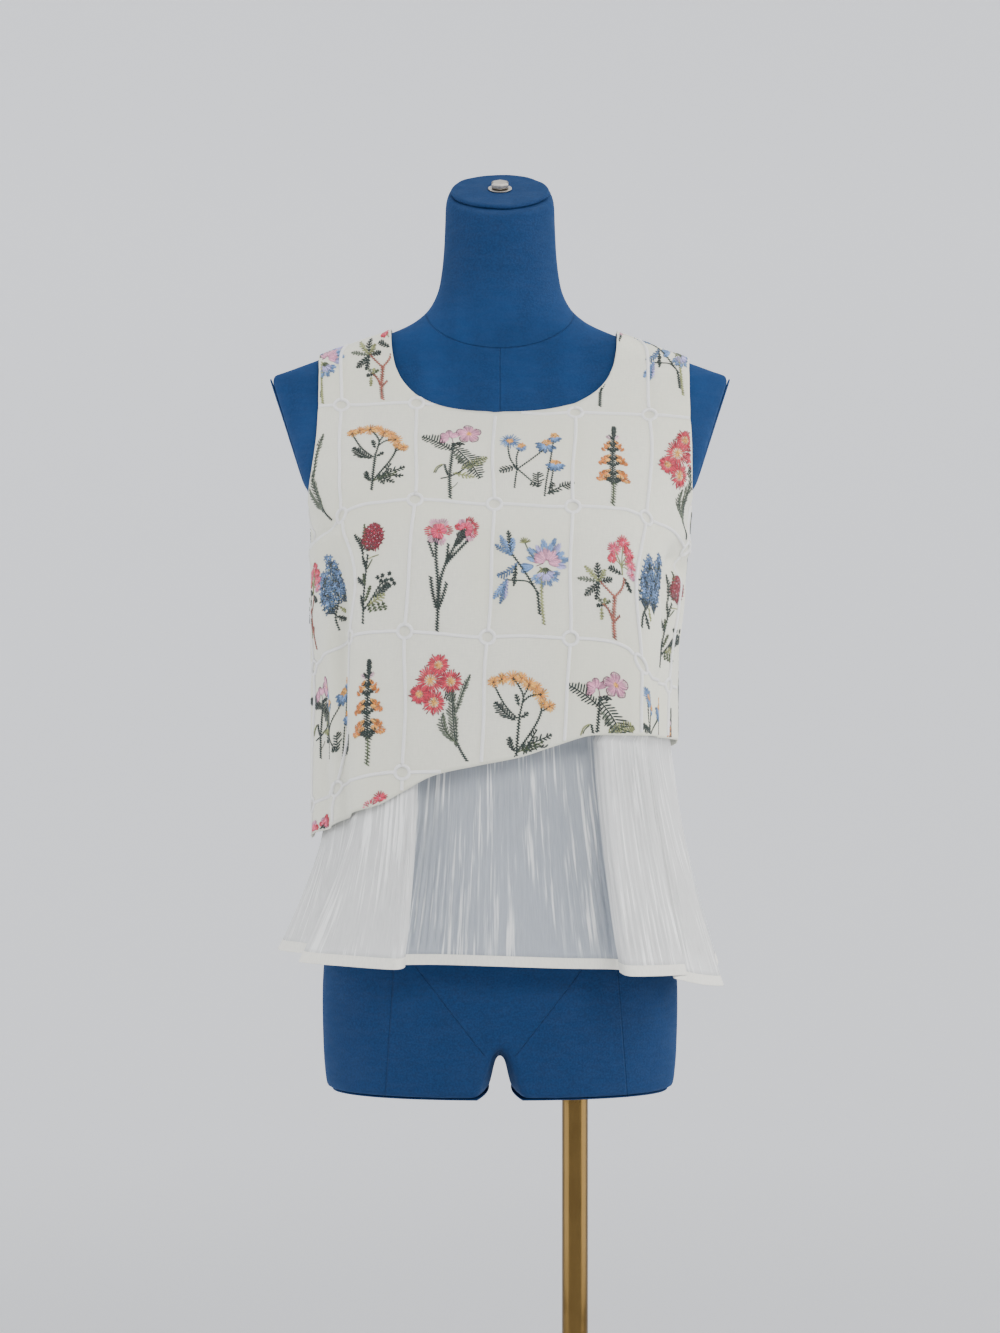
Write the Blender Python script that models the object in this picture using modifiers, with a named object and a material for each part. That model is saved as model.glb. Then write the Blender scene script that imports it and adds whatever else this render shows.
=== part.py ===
"""Sleeveless two-layer top on a limbless dress form: a cream bodice with a slanting hem over a sheer
gathered peplum, worn by a suede-covered form that stands on an off-centre pole and a round foot.

The front faces -Y and +Z is up. The origin is the middle of the foot's underside."""

import math
from collections import namedtuple

import bmesh
import bpy
import numpy as np

# Every size and table below is in millimetres, and MM turns it into metres where a mesh is made.
MM = 0.001
SEAM_GAP = 0.4

# The figure: one ring for each height, from the thigh ends to the top of the neck.
# half_width is along X, front and back are along -Y and +Y, fullness is the superellipse exponent,
# and steps is the number of rings made up to the next row.
Ring = namedtuple("Ring", "z half_width front back fullness steps")
SHOULDERS_AND_NECK = (
    Ring(1240, 178, 99, 101, 2.8, 2),
    Ring(1270, 188, 74, 98, 2.8, 2),
    Ring(1295, 196, 52, 92, 2.6, 2),
    Ring(1315, 203, 41, 84, 2.3, 1),
    Ring(1329, 206, 36, 76, 2.1, 1),
    Ring(1336, 187, 35, 71, 2.0, 1),
    Ring(1347, 157, 36, 66, 2.0, 1),
    Ring(1358, 127, 39, 61, 2.0, 1),
    Ring(1369, 96, 43, 58, 2.0, 1),
    Ring(1378, 76, 46, 57, 2.0, 1),
    Ring(1390, 62, 48, 56, 2.0, 1),
    Ring(1410, 53, 49, 55, 2.0, 1),
    Ring(1445, 49, 49, 52, 2.0, 2),
    Ring(1535, 46, 49, 48, 2.0, 1),
)
FIGURE = (
    Ring(711, 148, 92, 105, 2.3, 1),
    Ring(745, 153, 97, 112, 2.3, 1),
    Ring(790, 155, 100, 118, 2.3, 2),
    Ring(850, 151, 98, 110, 2.2, 2),
    Ring(905, 136, 92, 94, 2.2, 2),
    Ring(975, 116, 82, 76, 2.2, 2),
    Ring(1030, 121, 88, 76, 2.2, 2),
    Ring(1090, 134, 105, 84, 2.3, 2),
    Ring(1135, 144, 121, 91, 2.4, 1),
    Ring(1165, 149, 128, 95, 2.5, 1),
    Ring(1190, 152, 127, 99, 2.5, 1),
    Ring(1213, 159, 119, 101, 2.6, 1),
    *SHOULDERS_AND_NECK,
)
# The bodice's rest surface: the figure's own shoulders and chest, then cloth that hangs from the
# bust and the shoulder blades as a boxy tube.
HANGING = (
    Ring(915, 161, 127, 104, 3.2, 1),
    Ring(1000, 161, 131, 104, 3.2, 1),
    Ring(1100, 161, 136, 104, 3.1, 1),
    Ring(1150, 161, 137, 105, 3.0, 1),
    Ring(1185, 161, 133, 104, 2.9, 1),
    Ring(1213, 163, 121, 102, 2.8, 1),
    *SHOULDERS_AND_NECK,
)
FIGURE_SIDES = 36

# The dress form's cuts
ARM_TOP_X = 200.0
ARM_TOP_Z = 1326.0
ARM_SLOPE = 1.0 / 3.0
ARM_FOOT_Z = 1191.0
ARM_PLATE = 3.0
NECK_SEAM_FRONT = (-42.0, 1356.0)
NECK_SEAM_SLOPE = 0.8
NECK_TOP_FRONT = (-49.0, 1467.0)
NECK_TOP_SLOPE = 0.5
NOTCH_HALF_WIDTH = 9.0
NOTCH_HEIGHT = 28.0
NOTCH_SPREAD = 2.5
THIGH_PLATE = 4.0
FORM_FOOT_Z = 711.0

# Neck cap and its nut
CAP_HALF_WIDTH = 43.0
CAP_HALF_DEPTH = 44.0
CAP_THICKNESS = 3.5
NUT_RADIUS = 8.5
NUT_HEIGHT = 5.0
WASHER_RADIUS = 10.5
WASHER_HEIGHT = 1.0

# Stand
POLE_X = 65.5
POLE_RADIUS = 11.5
POLE_IN_FORM = 60.0
FOOT_RADIUS = 165.0
FOOT_THICKNESS = 9.0
FOOT_EDGE = 3.0
COLLAR_RADIUS = 21.0
COLLAR_HEIGHT = 26.0

# Bodice cloth
BODICE_WALL = 1.5
BODICE_CLEARANCE = 2.0
LIFT = BODICE_WALL + BODICE_CLEARANCE
YOKE_Z = 1213.0
NECK_HALF_WIDTH = 97.0
NECK_SHARE = 0.36
NECK_FULLNESS = 2.8
FRONT_NECK_DROP = 73.0
BACK_NECK_DROP = 24.0
SHOULDER_POINT_X = 160.0
SHOULDER_GAP = 0.5
# The straps sit a little towards the wearer's left.
SHOULDER_SHIFT = 3.5
SHIFT_HEIGHT = 70.0
ARMHOLE_MIDDLE_Z = 1272.0
NECK_COLUMNS = 7
STRAP_COLUMNS = 16
LOWER_ROWS = 7
MIDDLE_ROWS = 6
STRAP_ROWS = 9

ArmholeEdge = namedtuple("ArmholeEdge", "z front_x back_x")
ARMHOLE = (
    ArmholeEdge(1213, 163.0, 163.0),
    ArmholeEdge(1220, 162.5, 162.0),
    ArmholeEdge(1235, 161.0, 160.0),
    ArmholeEdge(1255, 160.0, 158.5),
    ArmholeEdge(1280, 159.5, 158.5),
    ArmholeEdge(1310, 159.5, 159.0),
    ArmholeEdge(1347, 160.0, 160.0),
)

# share runs along a panel from its left side seam (-1) through its middle (0) to its right (1).
HemPoint = namedtuple("HemPoint", "share z")
FRONT_HEM = (
    HemPoint(-1.0, 929.0),
    HemPoint(-0.75, 940.0),
    HemPoint(-0.515, 956.0),
    HemPoint(-0.415, 962.5),
    HemPoint(-0.32, 975.0),
    HemPoint(-0.22, 988.0),
    HemPoint(-0.065, 996.5),
    HemPoint(0.065, 1003.0),
    HemPoint(0.19, 1013.0),
    HemPoint(0.32, 1021.5),
    HemPoint(0.45, 1021.0),
    HemPoint(0.75, 1017.0),
    HemPoint(1.0, 1014.0),
)
BACK_HEM = (
    HemPoint(-1.0, 929.0),
    HemPoint(-0.5, 941.0),
    HemPoint(0.0, 968.0),
    HemPoint(0.5, 1000.0),
    HemPoint(1.0, 1014.0),
)

# Folds in the bodice: a trough (depth below 0) or a ridge (above 0) that fades in below top_z.
Fold = namedtuple("Fold", "share reach depth top_z fade")
LEFT_SIDE_FOLD = Fold(1.0, 0.3, -9.0, 1195, 110)
FRONT_FOLDS = (
    LEFT_SIDE_FOLD,
    Fold(-0.475, 0.05, 3.0, 1185, 70),
    Fold(-0.605, 0.075, -18.0, 1200, 70),
    Fold(-0.755, 0.075, -14.0, 1130, 90),
    Fold(0.47, 0.05, 3.0, 1185, 70),
    Fold(0.675, 0.08, -18.0, 1210, 80),
    Fold(0.82, 0.08, -9.0, 1130, 90),
)
BACK_FOLDS = (
    LEFT_SIDE_FOLD,
    Fold(-0.62, 0.08, -6.0, 1180, 90),
    Fold(-0.2, 0.1, -4.0, 1130, 110),
    Fold(0.25, 0.1, -4.0, 1150, 110),
    Fold(0.6, 0.08, -6.0, 1190, 90),
)

# Peplum cloth: each row is one crest or trough, with its place in plan under the bodice and at the hem.
PEPLUM_WALL = 1.0
PEPLUM_HEM_WALL = 1.8
PEPLUM_HEM_HEIGHT = 11.0
PEPLUM_TOP_Z = 1046.0
PEPLUM_SEAM_HEIGHT = 8.0
PEPLUM_SEAM_INSET = 1.3
PEPLUM_GATHER_HEIGHT = 22.0
PEPLUM_FLARE_ABOVE_HEM = 8.0
PEPLUM_FLARE_POWER = 1.35
PEPLUM_ROWS = 5
COLUMNS_PER_FOLD = 2

Crest = namedtuple("Crest", "top_x top_y hem_x hem_y hem_z")
LEFT_SEAM = Crest(-154, 0, -192, 10, 834)
RIGHT_SEAM = Crest(148, 0, 187, 14, 812)
PEPLUM_FRONT = (
    LEFT_SEAM,
    Crest(-152, -20, -192, -14, 832),
    Crest(-144, -47, -173, -50, 833),
    Crest(-130, -70, -159, -78, 832),
    Crest(-121, -95, -168, -112, 831),
    Crest(-107, -114, -130, -138, 830),
    Crest(-76, -125, -88, -158, 829),
    Crest(-69, -118, -79, -140, 829),
    Crest(-66, -108, -84, -121, 829),
    Crest(-40, -113, -50, -118, 829),
    Crest(0, -116, 0, -123, 828),
    Crest(40, -113, 55, -120, 826),
    Crest(74, -107, 97, -117, 825),
    Crest(78, -117, 100, -136, 824),
    Crest(85, -125, 107, -153, 823),
    Crest(104, -117, 133, -141, 822),
    Crest(119, -108, 156, -122, 821),
    Crest(122, -91, 148, -89, 815),
    Crest(127, -78, 171, -70, 808),
    Crest(137, -50, 193, -31, 803),
    Crest(145, -22, 185, -5, 806),
    RIGHT_SEAM,
)
PEPLUM_BACK = (
    LEFT_SEAM,
    Crest(-147, 28, -185, 38, 835),
    Crest(-134, 60, -176, 84, 834),
    Crest(-118, 76, -140, 100, 833),
    Crest(-96, 88, -122, 146, 832),
    Crest(-70, 88, -82, 132, 831),
    Crest(-42, 94, -52, 160, 830),
    Crest(-12, 89, -14, 138, 829),
    Crest(18, 95, 22, 162, 829),
    Crest(44, 89, 52, 136, 828),
    Crest(72, 93, 92, 156, 827),
    Crest(95, 84, 112, 122, 826),
    Crest(119, 80, 160, 116, 824),
    Crest(134, 57, 166, 72, 822),
    Crest(144, 30, 192, 38, 818),
    RIGHT_SEAM,
)


def smooth(xs, ys, x):
    """A monotone cubic through (xs, ys), which never passes the heights that it joins."""
    xs, ys, x = (np.asarray(v, float) for v in (xs, ys, x))
    steps = np.diff(xs)
    rises = np.diff(ys) / steps
    both = rises[:-1] * rises[1:]
    total = rises[:-1] + rises[1:]
    slopes = np.empty(len(xs))
    slopes[0], slopes[-1] = rises[0], rises[-1]
    slopes[1:-1] = np.where(both > 0, 2 * both / np.where(total == 0, 1, total), 0)
    i = np.clip(np.searchsorted(xs, x) - 1, 0, len(xs) - 2)
    t = np.clip((x - xs[i]) / steps[i], 0, 1)
    return (
        ys[i] * (1 + 2 * t) * (1 - t) ** 2
        + slopes[i] * steps[i] * t * (1 - t) ** 2
        + ys[i + 1] * t * t * (3 - 2 * t)
        + slopes[i + 1] * steps[i] * t * t * (t - 1)
    )


def ease(t):
    t = np.clip(t, 0, 1)
    return t * t * (3 - 2 * t)


def ring_sizes(table, z):
    """half_width, front, back and fullness of the table's surface at the heights z."""
    heights = [row.z for row in table]
    columns = ("half_width", "front", "back", "fullness")
    return [smooth(heights, [getattr(row, name) for row in table], z) for name in columns]


def ring_xy(sizes, angle):
    """Plan position on a ring: angle 0 is the middle of the front and pi / 2 the wearer's left side, at +X."""
    half_width, front, back, fullness = sizes
    sine, cosine = np.sin(angle), np.cos(angle)
    depth = np.where(cosine > 0, front, back)
    x = half_width * np.sign(sine) * np.abs(sine) ** (2 / fullness)
    y = -depth * np.sign(cosine) * np.abs(cosine) ** (2 / fullness)
    return x, y


def depth_at(table, x, z, facing):
    """y of the table's surface at (x, z), on its front (facing -1) or back (facing 1)."""
    half_width, front, back, fullness = ring_sizes(table, z)
    depth = front if facing < 0 else back
    across = np.clip(np.abs(x) / half_width, 0, 1)
    return facing * depth * (1 - across**fullness) ** (1 / fullness)


def surface_level(table, x, y, z):
    half_width, front, back, fullness = ring_sizes(table, z)
    depth = np.where(y < 0, front, back)
    return (np.abs(x) / half_width) ** fullness + (np.abs(y) / depth) ** fullness


def outward(table, x, y, z):
    """Unit normals of the table's surface, from the slope of its level along each axis."""
    h = 0.05
    slopes = (
        surface_level(table, x + h, y, z) - surface_level(table, x - h, y, z),
        surface_level(table, x, y + h, z) - surface_level(table, x, y - h, z),
        surface_level(table, x, y, z + h) - surface_level(table, x, y, z - h),
    )
    normal = np.stack(np.broadcast_arrays(*slopes))
    return normal / np.linalg.norm(normal, axis=0)


def quarter_lengths(table, z, facing):
    """Angles of a quarter ring at each height z, and the length round the ring up to each angle."""
    angles = np.linspace(0, math.pi / 2, 241)
    half_width, front, back, fullness = (size[:, None] for size in ring_sizes(table, z))
    depth = front if facing < 0 else back
    x = half_width * np.sin(angles) ** (2 / fullness)
    y = depth * np.cos(angles) ** (2 / fullness)
    steps = np.hypot(np.diff(x, axis=1), np.diff(y, axis=1))
    return angles, np.pad(np.cumsum(steps, axis=1), ((0, 0), (1, 0)))


def point_round(table, z, length, facing):
    """(x, y) at a length round the ring at each height z, counted from the middle of the panel."""
    angles, lengths = quarter_lengths(table, z, facing)
    found = np.array([np.interp(abs(s), row, angles) for s, row in zip(length, lengths)])
    half_width, front, back, fullness = ring_sizes(table, z)
    depth = front if facing < 0 else back
    x = np.sign(length) * half_width * np.sin(found) ** (2 / fullness)
    y = facing * depth * np.abs(np.cos(found)) ** (2 / fullness)
    return x, y


def length_at(table, x, z, facing):
    """Length round the ring at each height z, from the middle of the panel to x."""
    angles, lengths = quarter_lengths(table, z, facing)
    half_width, _, _, fullness = ring_sizes(table, z)
    across = np.clip(np.abs(x) / half_width, 0, 1)
    found = np.arcsin(across ** (fullness / 2))
    length = np.array([np.interp(a, angles, row) for a, row in zip(found, lengths)])
    return np.sign(x) * length


def ridge_z(x):
    """Height of the shoulder line over x."""
    heights = np.linspace(1331, 1400, 400)
    widths = ring_sizes(HANGING, heights)[0]
    return np.interp(np.abs(x), widths[::-1], heights[::-1])


def fold_depth(folds, share, z):
    depth = np.zeros(np.broadcast(share, z).shape)
    for fold in folds:
        across = np.exp(-(((share - fold.share) / fold.reach) ** 2))
        depth = depth + fold.depth * across * ease((fold.top_z - z) / fold.fade)
    return depth


def bodice_surface(facing, folds, share, z, lift):
    """Points of the hanging part of a bodice panel, lift outside its rest surface."""
    _, lengths = quarter_lengths(HANGING, z, facing)
    x, y = point_round(HANGING, z, share * lengths[:, -1], facing)
    reach = lift + fold_depth(folds, share, z)
    return np.stack([x, y, z]) + reach * outward(HANGING, x, y, z)


def panel_columns():
    """Shares of a panel's columns, with one on each corner of the neckline."""
    inner = np.linspace(0, NECK_SHARE, NECK_COLUMNS + 1)
    outer = np.linspace(NECK_SHARE, 1, STRAP_COLUMNS + 1)[1:]
    half = np.concatenate([inner, outer])
    return np.concatenate([-half[:0:-1], half])


def neck_corner(neck_drop):
    """(x, z) of the point where the neckline turns from its foot into its side."""
    part = 0.5 ** (1 / NECK_FULLNESS)
    return NECK_HALF_WIDTH * part, ridge_z(NECK_HALF_WIDTH) - neck_drop * part


def top_of_middle(share, neck_drop, edge):
    """(x, z) of a panel's middle rows' upper end: the neckline's foot, then straight to the armhole."""
    size = np.abs(share)
    corner_x, corner_z = neck_corner(neck_drop)
    x = corner_x * np.clip(size / NECK_SHARE, 0, 1)
    fall = (1 - (x / NECK_HALF_WIDTH) ** NECK_FULLNESS) ** (1 / NECK_FULLNESS)
    z = ridge_z(NECK_HALF_WIDTH) - neck_drop * fall
    out = np.clip((size - NECK_SHARE) / (1 - NECK_SHARE), 0, 1)
    x = x + (edge[0] - corner_x) * out
    z = z + (edge[1] - corner_z) * out
    return x * np.sign(share), z


def strap_row(share, neck_drop, edge_z, armhole_x, climb):
    """(x, z) of one row over the shoulder straps, NaN between them; climb runs from 0 to 1."""
    shoulder_z = ridge_z(NECK_HALF_WIDTH)
    _, corner_z = neck_corner(neck_drop)
    inner_z = corner_z + (shoulder_z - corner_z) * climb
    fall = (shoulder_z - inner_z) / neck_drop
    inner_x = NECK_HALF_WIDTH * (1 - fall**NECK_FULLNESS) ** (1 / NECK_FULLNESS)
    outer_z = edge_z + (ridge_z(SHOULDER_POINT_X) - edge_z) * climb
    outer_x = armhole_x(outer_z)
    out = (np.abs(share) - NECK_SHARE) / (1 - NECK_SHARE)
    out = np.where(out < -1e-6, np.nan, out)
    x = inner_x + (outer_x - inner_x) * out
    z = inner_z + (outer_z - inner_z) * out
    # The last row lies on the shoulder line itself, where front and back meet.
    return np.sign(share) * x, z + (ridge_z(x) - z) * climb**6


def moved_left(x, z, follow):
    """Moves points of the yoke towards the wearer's left, along the shoulder line by a part follow."""
    moved = x + SHOULDER_SHIFT * ease((z - YOKE_Z) / SHIFT_HEIGHT)
    return moved, z + (ridge_z(moved) - ridge_z(x)) * follow


def bodice_grid(facing, hem, folds, neck_drop):
    """Outer points of a bodice panel in rows from the hem upwards, NaN in the neck opening."""
    share = panel_columns()
    hem_z = smooth([p.share for p in hem], [p.z for p in hem], share)
    rows = []
    for t in np.linspace(0, 1, LOWER_ROWS + 1):
        z = hem_z + (YOKE_Z - hem_z) * t
        rows.append(bodice_surface(facing, folds, share, z, LIFT))
    edge_heights = [row.z for row in ARMHOLE]
    edge_widths = [row.front_x if facing < 0 else row.back_x for row in ARMHOLE]

    def armhole_x(z):
        return smooth(edge_heights, edge_widths, z)

    edge = (float(armhole_x(ARMHOLE_MIDDLE_Z)), ARMHOLE_MIDDLE_Z)
    yoke_z = np.full(share.shape, YOKE_Z)
    yoke_length = share * quarter_lengths(HANGING, yoke_z, facing)[1][:, -1]
    top_x, top_z = top_of_middle(share, neck_drop, edge)
    top_length = length_at(HANGING, top_x, top_z, facing)
    paths = []
    for t in np.linspace(0, 1, MIDDLE_ROWS + 1)[1:]:
        rise = t + (t**1.5 - t) * share**4
        z = YOKE_Z + (top_z - YOKE_Z) * rise
        length = yoke_length + (top_length - yoke_length) * rise
        side_x = armhole_x(z[-1:])
        shift = length_at(HANGING, side_x, z[-1:], facing) - length[-1]
        x, _ = point_round(HANGING, z, length + shift * share * np.abs(share), facing)
        paths.append((x, z))
    paths = [moved_left(x, z, 0.0) for x, z in paths]
    for t in np.linspace(0, 1, STRAP_ROWS + 1)[1:]:
        climb = 1 - (1 - t) ** 1.6
        x, z = strap_row(share, neck_drop, edge[1], armhole_x, climb)
        paths.append(moved_left(x, z, climb))
    for x, z in paths:
        y = depth_at(HANGING, x, z, facing)
        reach = LIFT + fold_depth(folds, share, z)
        rows.append(np.stack([x, y, z]) + reach * outward(HANGING, x, y, z))
    grid = np.stack(rows, axis=1)
    grid[1] += facing * SEAM_GAP / 2
    grid[1, -1] += facing * SHOULDER_GAP / 2
    return grid


def closed_curve(points, per_gap):
    """A Catmull-Rom curve round through the points, with per_gap steps between each two."""
    points = np.asarray(points, float)
    turns = [np.roll(points, k, axis=0) for k in (1, 0, -1, -2)]
    t = np.linspace(0, 1, per_gap, endpoint=False)[:, None]
    out = []
    for a, b, c, d in zip(*turns):
        out.append(
            0.5
            * (
                2 * b
                + (c - a) * t
                + (2 * a - 5 * b + 4 * c - d) * t**2
                + (3 * b - a - 3 * c + d) * t**3
            )
        )
    return np.vstack(out)


def peplum_curve(facing):
    """One panel's part, from left to right, of the curve through every crest and trough."""
    front_length = (len(PEPLUM_FRONT) - 1) * COLUMNS_PER_FOLD
    round_all = closed_curve([*PEPLUM_FRONT, *PEPLUM_BACK[-2:0:-1]], COLUMNS_PER_FOLD)
    if facing < 0:
        return round_all[: front_length + 1]
    return np.vstack([round_all[front_length:], round_all[:1]])[::-1]


def peplum_grid(facing, folds, hem):
    """Outer points of a peplum panel: sewn inside the bodice, gathered in, then flared to its hem."""
    curve = peplum_curve(facing)
    top_xy, hem_xy, hem_z = curve[:, 0:2].T, curve[:, 2:4].T, curve[:, 4]
    along = np.concatenate([[0], np.cumsum(np.hypot(*np.diff(top_xy, axis=1)))])
    share = 2 * along / along[-1] - 1
    bodice_hem = smooth([p.share for p in hem], [p.z for p in hem], share)
    flare_top = bodice_hem + PEPLUM_FLARE_ABOVE_HEM
    gather_z = PEPLUM_TOP_Z - PEPLUM_SEAM_HEIGHT - PEPLUM_GATHER_HEIGHT
    inset = LIFT - BODICE_WALL - PEPLUM_SEAM_INSET
    rows = []
    for z in (PEPLUM_TOP_Z, PEPLUM_TOP_Z - PEPLUM_SEAM_HEIGHT):
        level = np.full(share.shape, z)
        rows.append(bodice_surface(facing, folds, share, level, inset))
    fall = np.linspace(0, 1, PEPLUM_ROWS + 1)
    hem_line = hem_z + PEPLUM_HEM_HEIGHT
    falls = [gather_z + (hem_line - gather_z) * t for t in fall]
    for z in (*falls, hem_line - 0.6, hem_z):
        t = np.clip((flare_top - z) / (flare_top - hem_z), 0, 1) ** PEPLUM_FLARE_POWER
        plan = top_xy + (hem_xy - top_xy) * t
        rows.append(np.stack([plan[0], plan[1], z]))
    grid = np.stack(rows, axis=1)
    grid[1] += facing * SEAM_GAP / 2
    return grid


def material(name, colour, roughness, metallic=0.0):
    made = bpy.data.materials.new(name)
    made.use_nodes = True
    shader = made.node_tree.nodes["Principled BSDF"]
    shader.inputs["Base Color"].default_value = (*colour, 1)
    shader.inputs["Roughness"].default_value = roughness
    shader.inputs["Metallic"].default_value = metallic
    return made


def add_object(name, mesh, finish, collection):
    obj = bpy.data.objects.new(name, mesh)
    collection.objects.link(obj)
    mesh.materials.append(finish)
    mesh.shade_smooth()
    return obj


def grid_mesh(name, grid, flip):
    """An open sheet from an array of points, 3 x rows x columns, in millimetres; NaN makes a hole."""
    rows, columns = grid.shape[1:]
    made = ~np.isnan(grid[0]).reshape(-1)
    points = (grid.reshape(3, -1).T[made] * MM).tolist()
    corner = np.where(made, np.cumsum(made) - 1, -1).reshape(rows, columns)
    quads = np.stack([corner[:-1, :-1], corner[:-1, 1:], corner[1:, 1:], corner[1:, :-1]], -1)
    quads = quads.reshape(-1, 4)
    quads = quads[quads.min(axis=1) >= 0]
    if flip:
        quads = quads[:, ::-1]
    mesh = bpy.data.meshes.new(name)
    mesh.from_pydata(points, [], quads.tolist())
    return mesh


def add_wall(obj, thickness, group=None):
    wall = obj.modifiers.new("wall", "SOLIDIFY")
    wall.thickness = thickness * MM
    wall.offset = -1
    wall.use_even_offset = group is None
    if group:
        wall.vertex_group = group
    return wall


def add_bodice(collection, finish):
    sides = (
        ("front_bodice", -1, FRONT_HEM, FRONT_FOLDS, FRONT_NECK_DROP),
        ("back_bodice", 1, BACK_HEM, BACK_FOLDS, BACK_NECK_DROP),
    )
    for name, facing, hem, folds, neck_drop in sides:
        grid = bodice_grid(facing, hem, folds, neck_drop)
        obj = add_object(name, grid_mesh(name, grid, facing > 0), finish, collection)
        add_wall(obj, BODICE_WALL)


def add_peplum(collection, finish):
    sides = (
        ("peplum_front", -1, FRONT_FOLDS, FRONT_HEM),
        ("peplum_back", 1, BACK_FOLDS, BACK_HEM),
    )
    for name, facing, folds, hem in sides:
        grid = peplum_grid(facing, folds, hem)
        # The rows run downwards, so the winding is the reverse of the bodice's.
        mesh = grid_mesh(name, grid, facing < 0)
        obj = add_object(name, mesh, finish, collection)
        thin = obj.vertex_groups.new(name="thickness")
        columns = grid.shape[2]
        count = len(mesh.vertices)
        hem_start = count - 2 * columns
        thin.add(list(range(hem_start)), PEPLUM_WALL / PEPLUM_HEM_WALL, "REPLACE")
        thin.add(list(range(hem_start, count)), 1.0, "REPLACE")
        add_wall(obj, PEPLUM_HEM_WALL, thin.name)


def figure_mesh(name):
    """The whole figure as one closed loft, from the thigh ends to above the neck."""
    heights = []
    for row, above in zip(FIGURE, FIGURE[1:]):
        heights.extend(np.linspace(row.z, above.z, row.steps, endpoint=False))
    heights = np.array([*heights, FIGURE[-1].z])
    angle = np.linspace(0, 2 * math.pi, FIGURE_SIDES, endpoint=False) + math.pi / FIGURE_SIDES
    sizes = [size[:, None] for size in ring_sizes(FIGURE, heights)]
    x, y = ring_xy(sizes, angle[None, :])
    points = np.stack([x, y, np.broadcast_to(heights[:, None], x.shape)]).reshape(3, -1).T * MM
    work = bmesh.new()
    corners = [work.verts.new(p) for p in points]
    for level in range(len(heights) - 1):
        for side in range(FIGURE_SIDES):
            a = level * FIGURE_SIDES + side
            b = level * FIGURE_SIDES + (side + 1) % FIGURE_SIDES
            work.faces.new([corners[k] for k in (a, b, b + FIGURE_SIDES, a + FIGURE_SIDES)])
    work.faces.new(corners[:FIGURE_SIDES][::-1])
    work.faces.new(corners[-FIGURE_SIDES:])
    bmesh.ops.recalc_face_normals(work, faces=work.faces)
    return finished(name, work)


def finished(name, work):
    mesh = bpy.data.meshes.new(name)
    work.to_mesh(mesh)
    work.free()
    return mesh


def keep_side(mesh, point, normal):
    """Cuts a closed mesh along a plane and keeps what lies against the normal, closed again."""
    work = bmesh.new()
    work.from_mesh(mesh)
    bmesh.ops.bisect_plane(
        work,
        geom=[*work.verts, *work.edges, *work.faces],
        plane_co=[v * MM for v in point],
        plane_no=normal,
        clear_outer=True,
    )
    rim = [edge for edge in work.edges if edge.is_boundary]
    bmesh.ops.holes_fill(work, edges=rim, sides=0)
    bmesh.ops.recalc_face_normals(work, faces=work.faces)
    work.to_mesh(mesh)
    work.free()
    return mesh


def block_mesh(name, size, turn, centre):
    """A box of that size, turned about Y by turn and moved to centre."""
    work = bmesh.new()
    bmesh.ops.create_cube(work, size=1)
    for vert in work.verts:
        x, y, z = (c * s for c, s in zip(vert.co, size))
        vert.co = (
            (x * math.cos(turn) + z * math.sin(turn) + centre[0]) * MM,
            (y + centre[1]) * MM,
            (z * math.cos(turn) - x * math.sin(turn) + centre[2]) * MM,
        )
    return finished(name, work)


def add_cutter(name, mesh, cutters):
    cutter = bpy.data.objects.new(name, mesh)
    cutters.objects.link(cutter)
    cutter.hide_render = True
    cutter.display_type = "WIRE"
    return cutter


def cut(obj, cutter, operation="DIFFERENCE"):
    step = obj.modifiers.new(cutter.name, "BOOLEAN")
    step.operation = operation
    step.object = cutter
    return step


def arm_block(name, side, near, far, foot_z, cutters):
    """A block outside the arm plane: near and far are its distances from that plane, inwards below 0."""
    lean = math.atan(ARM_SLOPE)
    top_z = ARM_TOP_Z + 60
    length = (top_z - foot_z) / math.cos(lean)
    middle_z = (top_z + foot_z) / 2
    plane_x = ARM_TOP_X - (ARM_TOP_Z - middle_z) * ARM_SLOPE
    away = (near + far) / 2
    centre = (
        side * (plane_x + away * math.cos(lean)),
        0,
        middle_z - away * math.sin(lean),
    )
    mesh = block_mesh(name, (far - near, 400, length), side * lean, centre)
    return add_cutter(name, mesh, cutters)


def notch_mesh(name):
    """The gap between the thighs: a rounded wedge along Y that widens towards the front and the back."""
    work = bmesh.new()
    arch = 9
    stations = np.linspace(-150, 150, 9)
    loops = []
    for y in stations:
        spread = 1 + NOTCH_SPREAD * (y / 100) ** 2
        top = FORM_FOOT_Z + NOTCH_HEIGHT * (1 + 0.45 * (y / 100) ** 2)
        loop = [(-NOTCH_HALF_WIDTH * spread * 1.5, FORM_FOOT_Z - 30)]
        for turn in np.linspace(-math.pi / 2, math.pi / 2, arch):
            x = NOTCH_HALF_WIDTH * spread * math.sin(turn)
            z = FORM_FOOT_Z + 4 + (top - FORM_FOOT_Z - 4) * max(0.0, math.cos(turn)) ** 1.6
            loop.append((x, z))
        loop.append((NOTCH_HALF_WIDTH * spread * 1.5, FORM_FOOT_Z - 30))
        loops.append([work.verts.new((x * MM, y * MM, z * MM)) for x, z in loop])
    for near, far in zip(loops, loops[1:]):
        for k in range(len(near)):
            after = (k + 1) % len(near)
            work.faces.new((near[k], near[after], far[after], far[k]))
    work.faces.new(loops[0])
    work.faces.new(loops[-1][::-1])
    bmesh.ops.recalc_face_normals(work, faces=work.faces)
    return finished(name, work)


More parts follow.
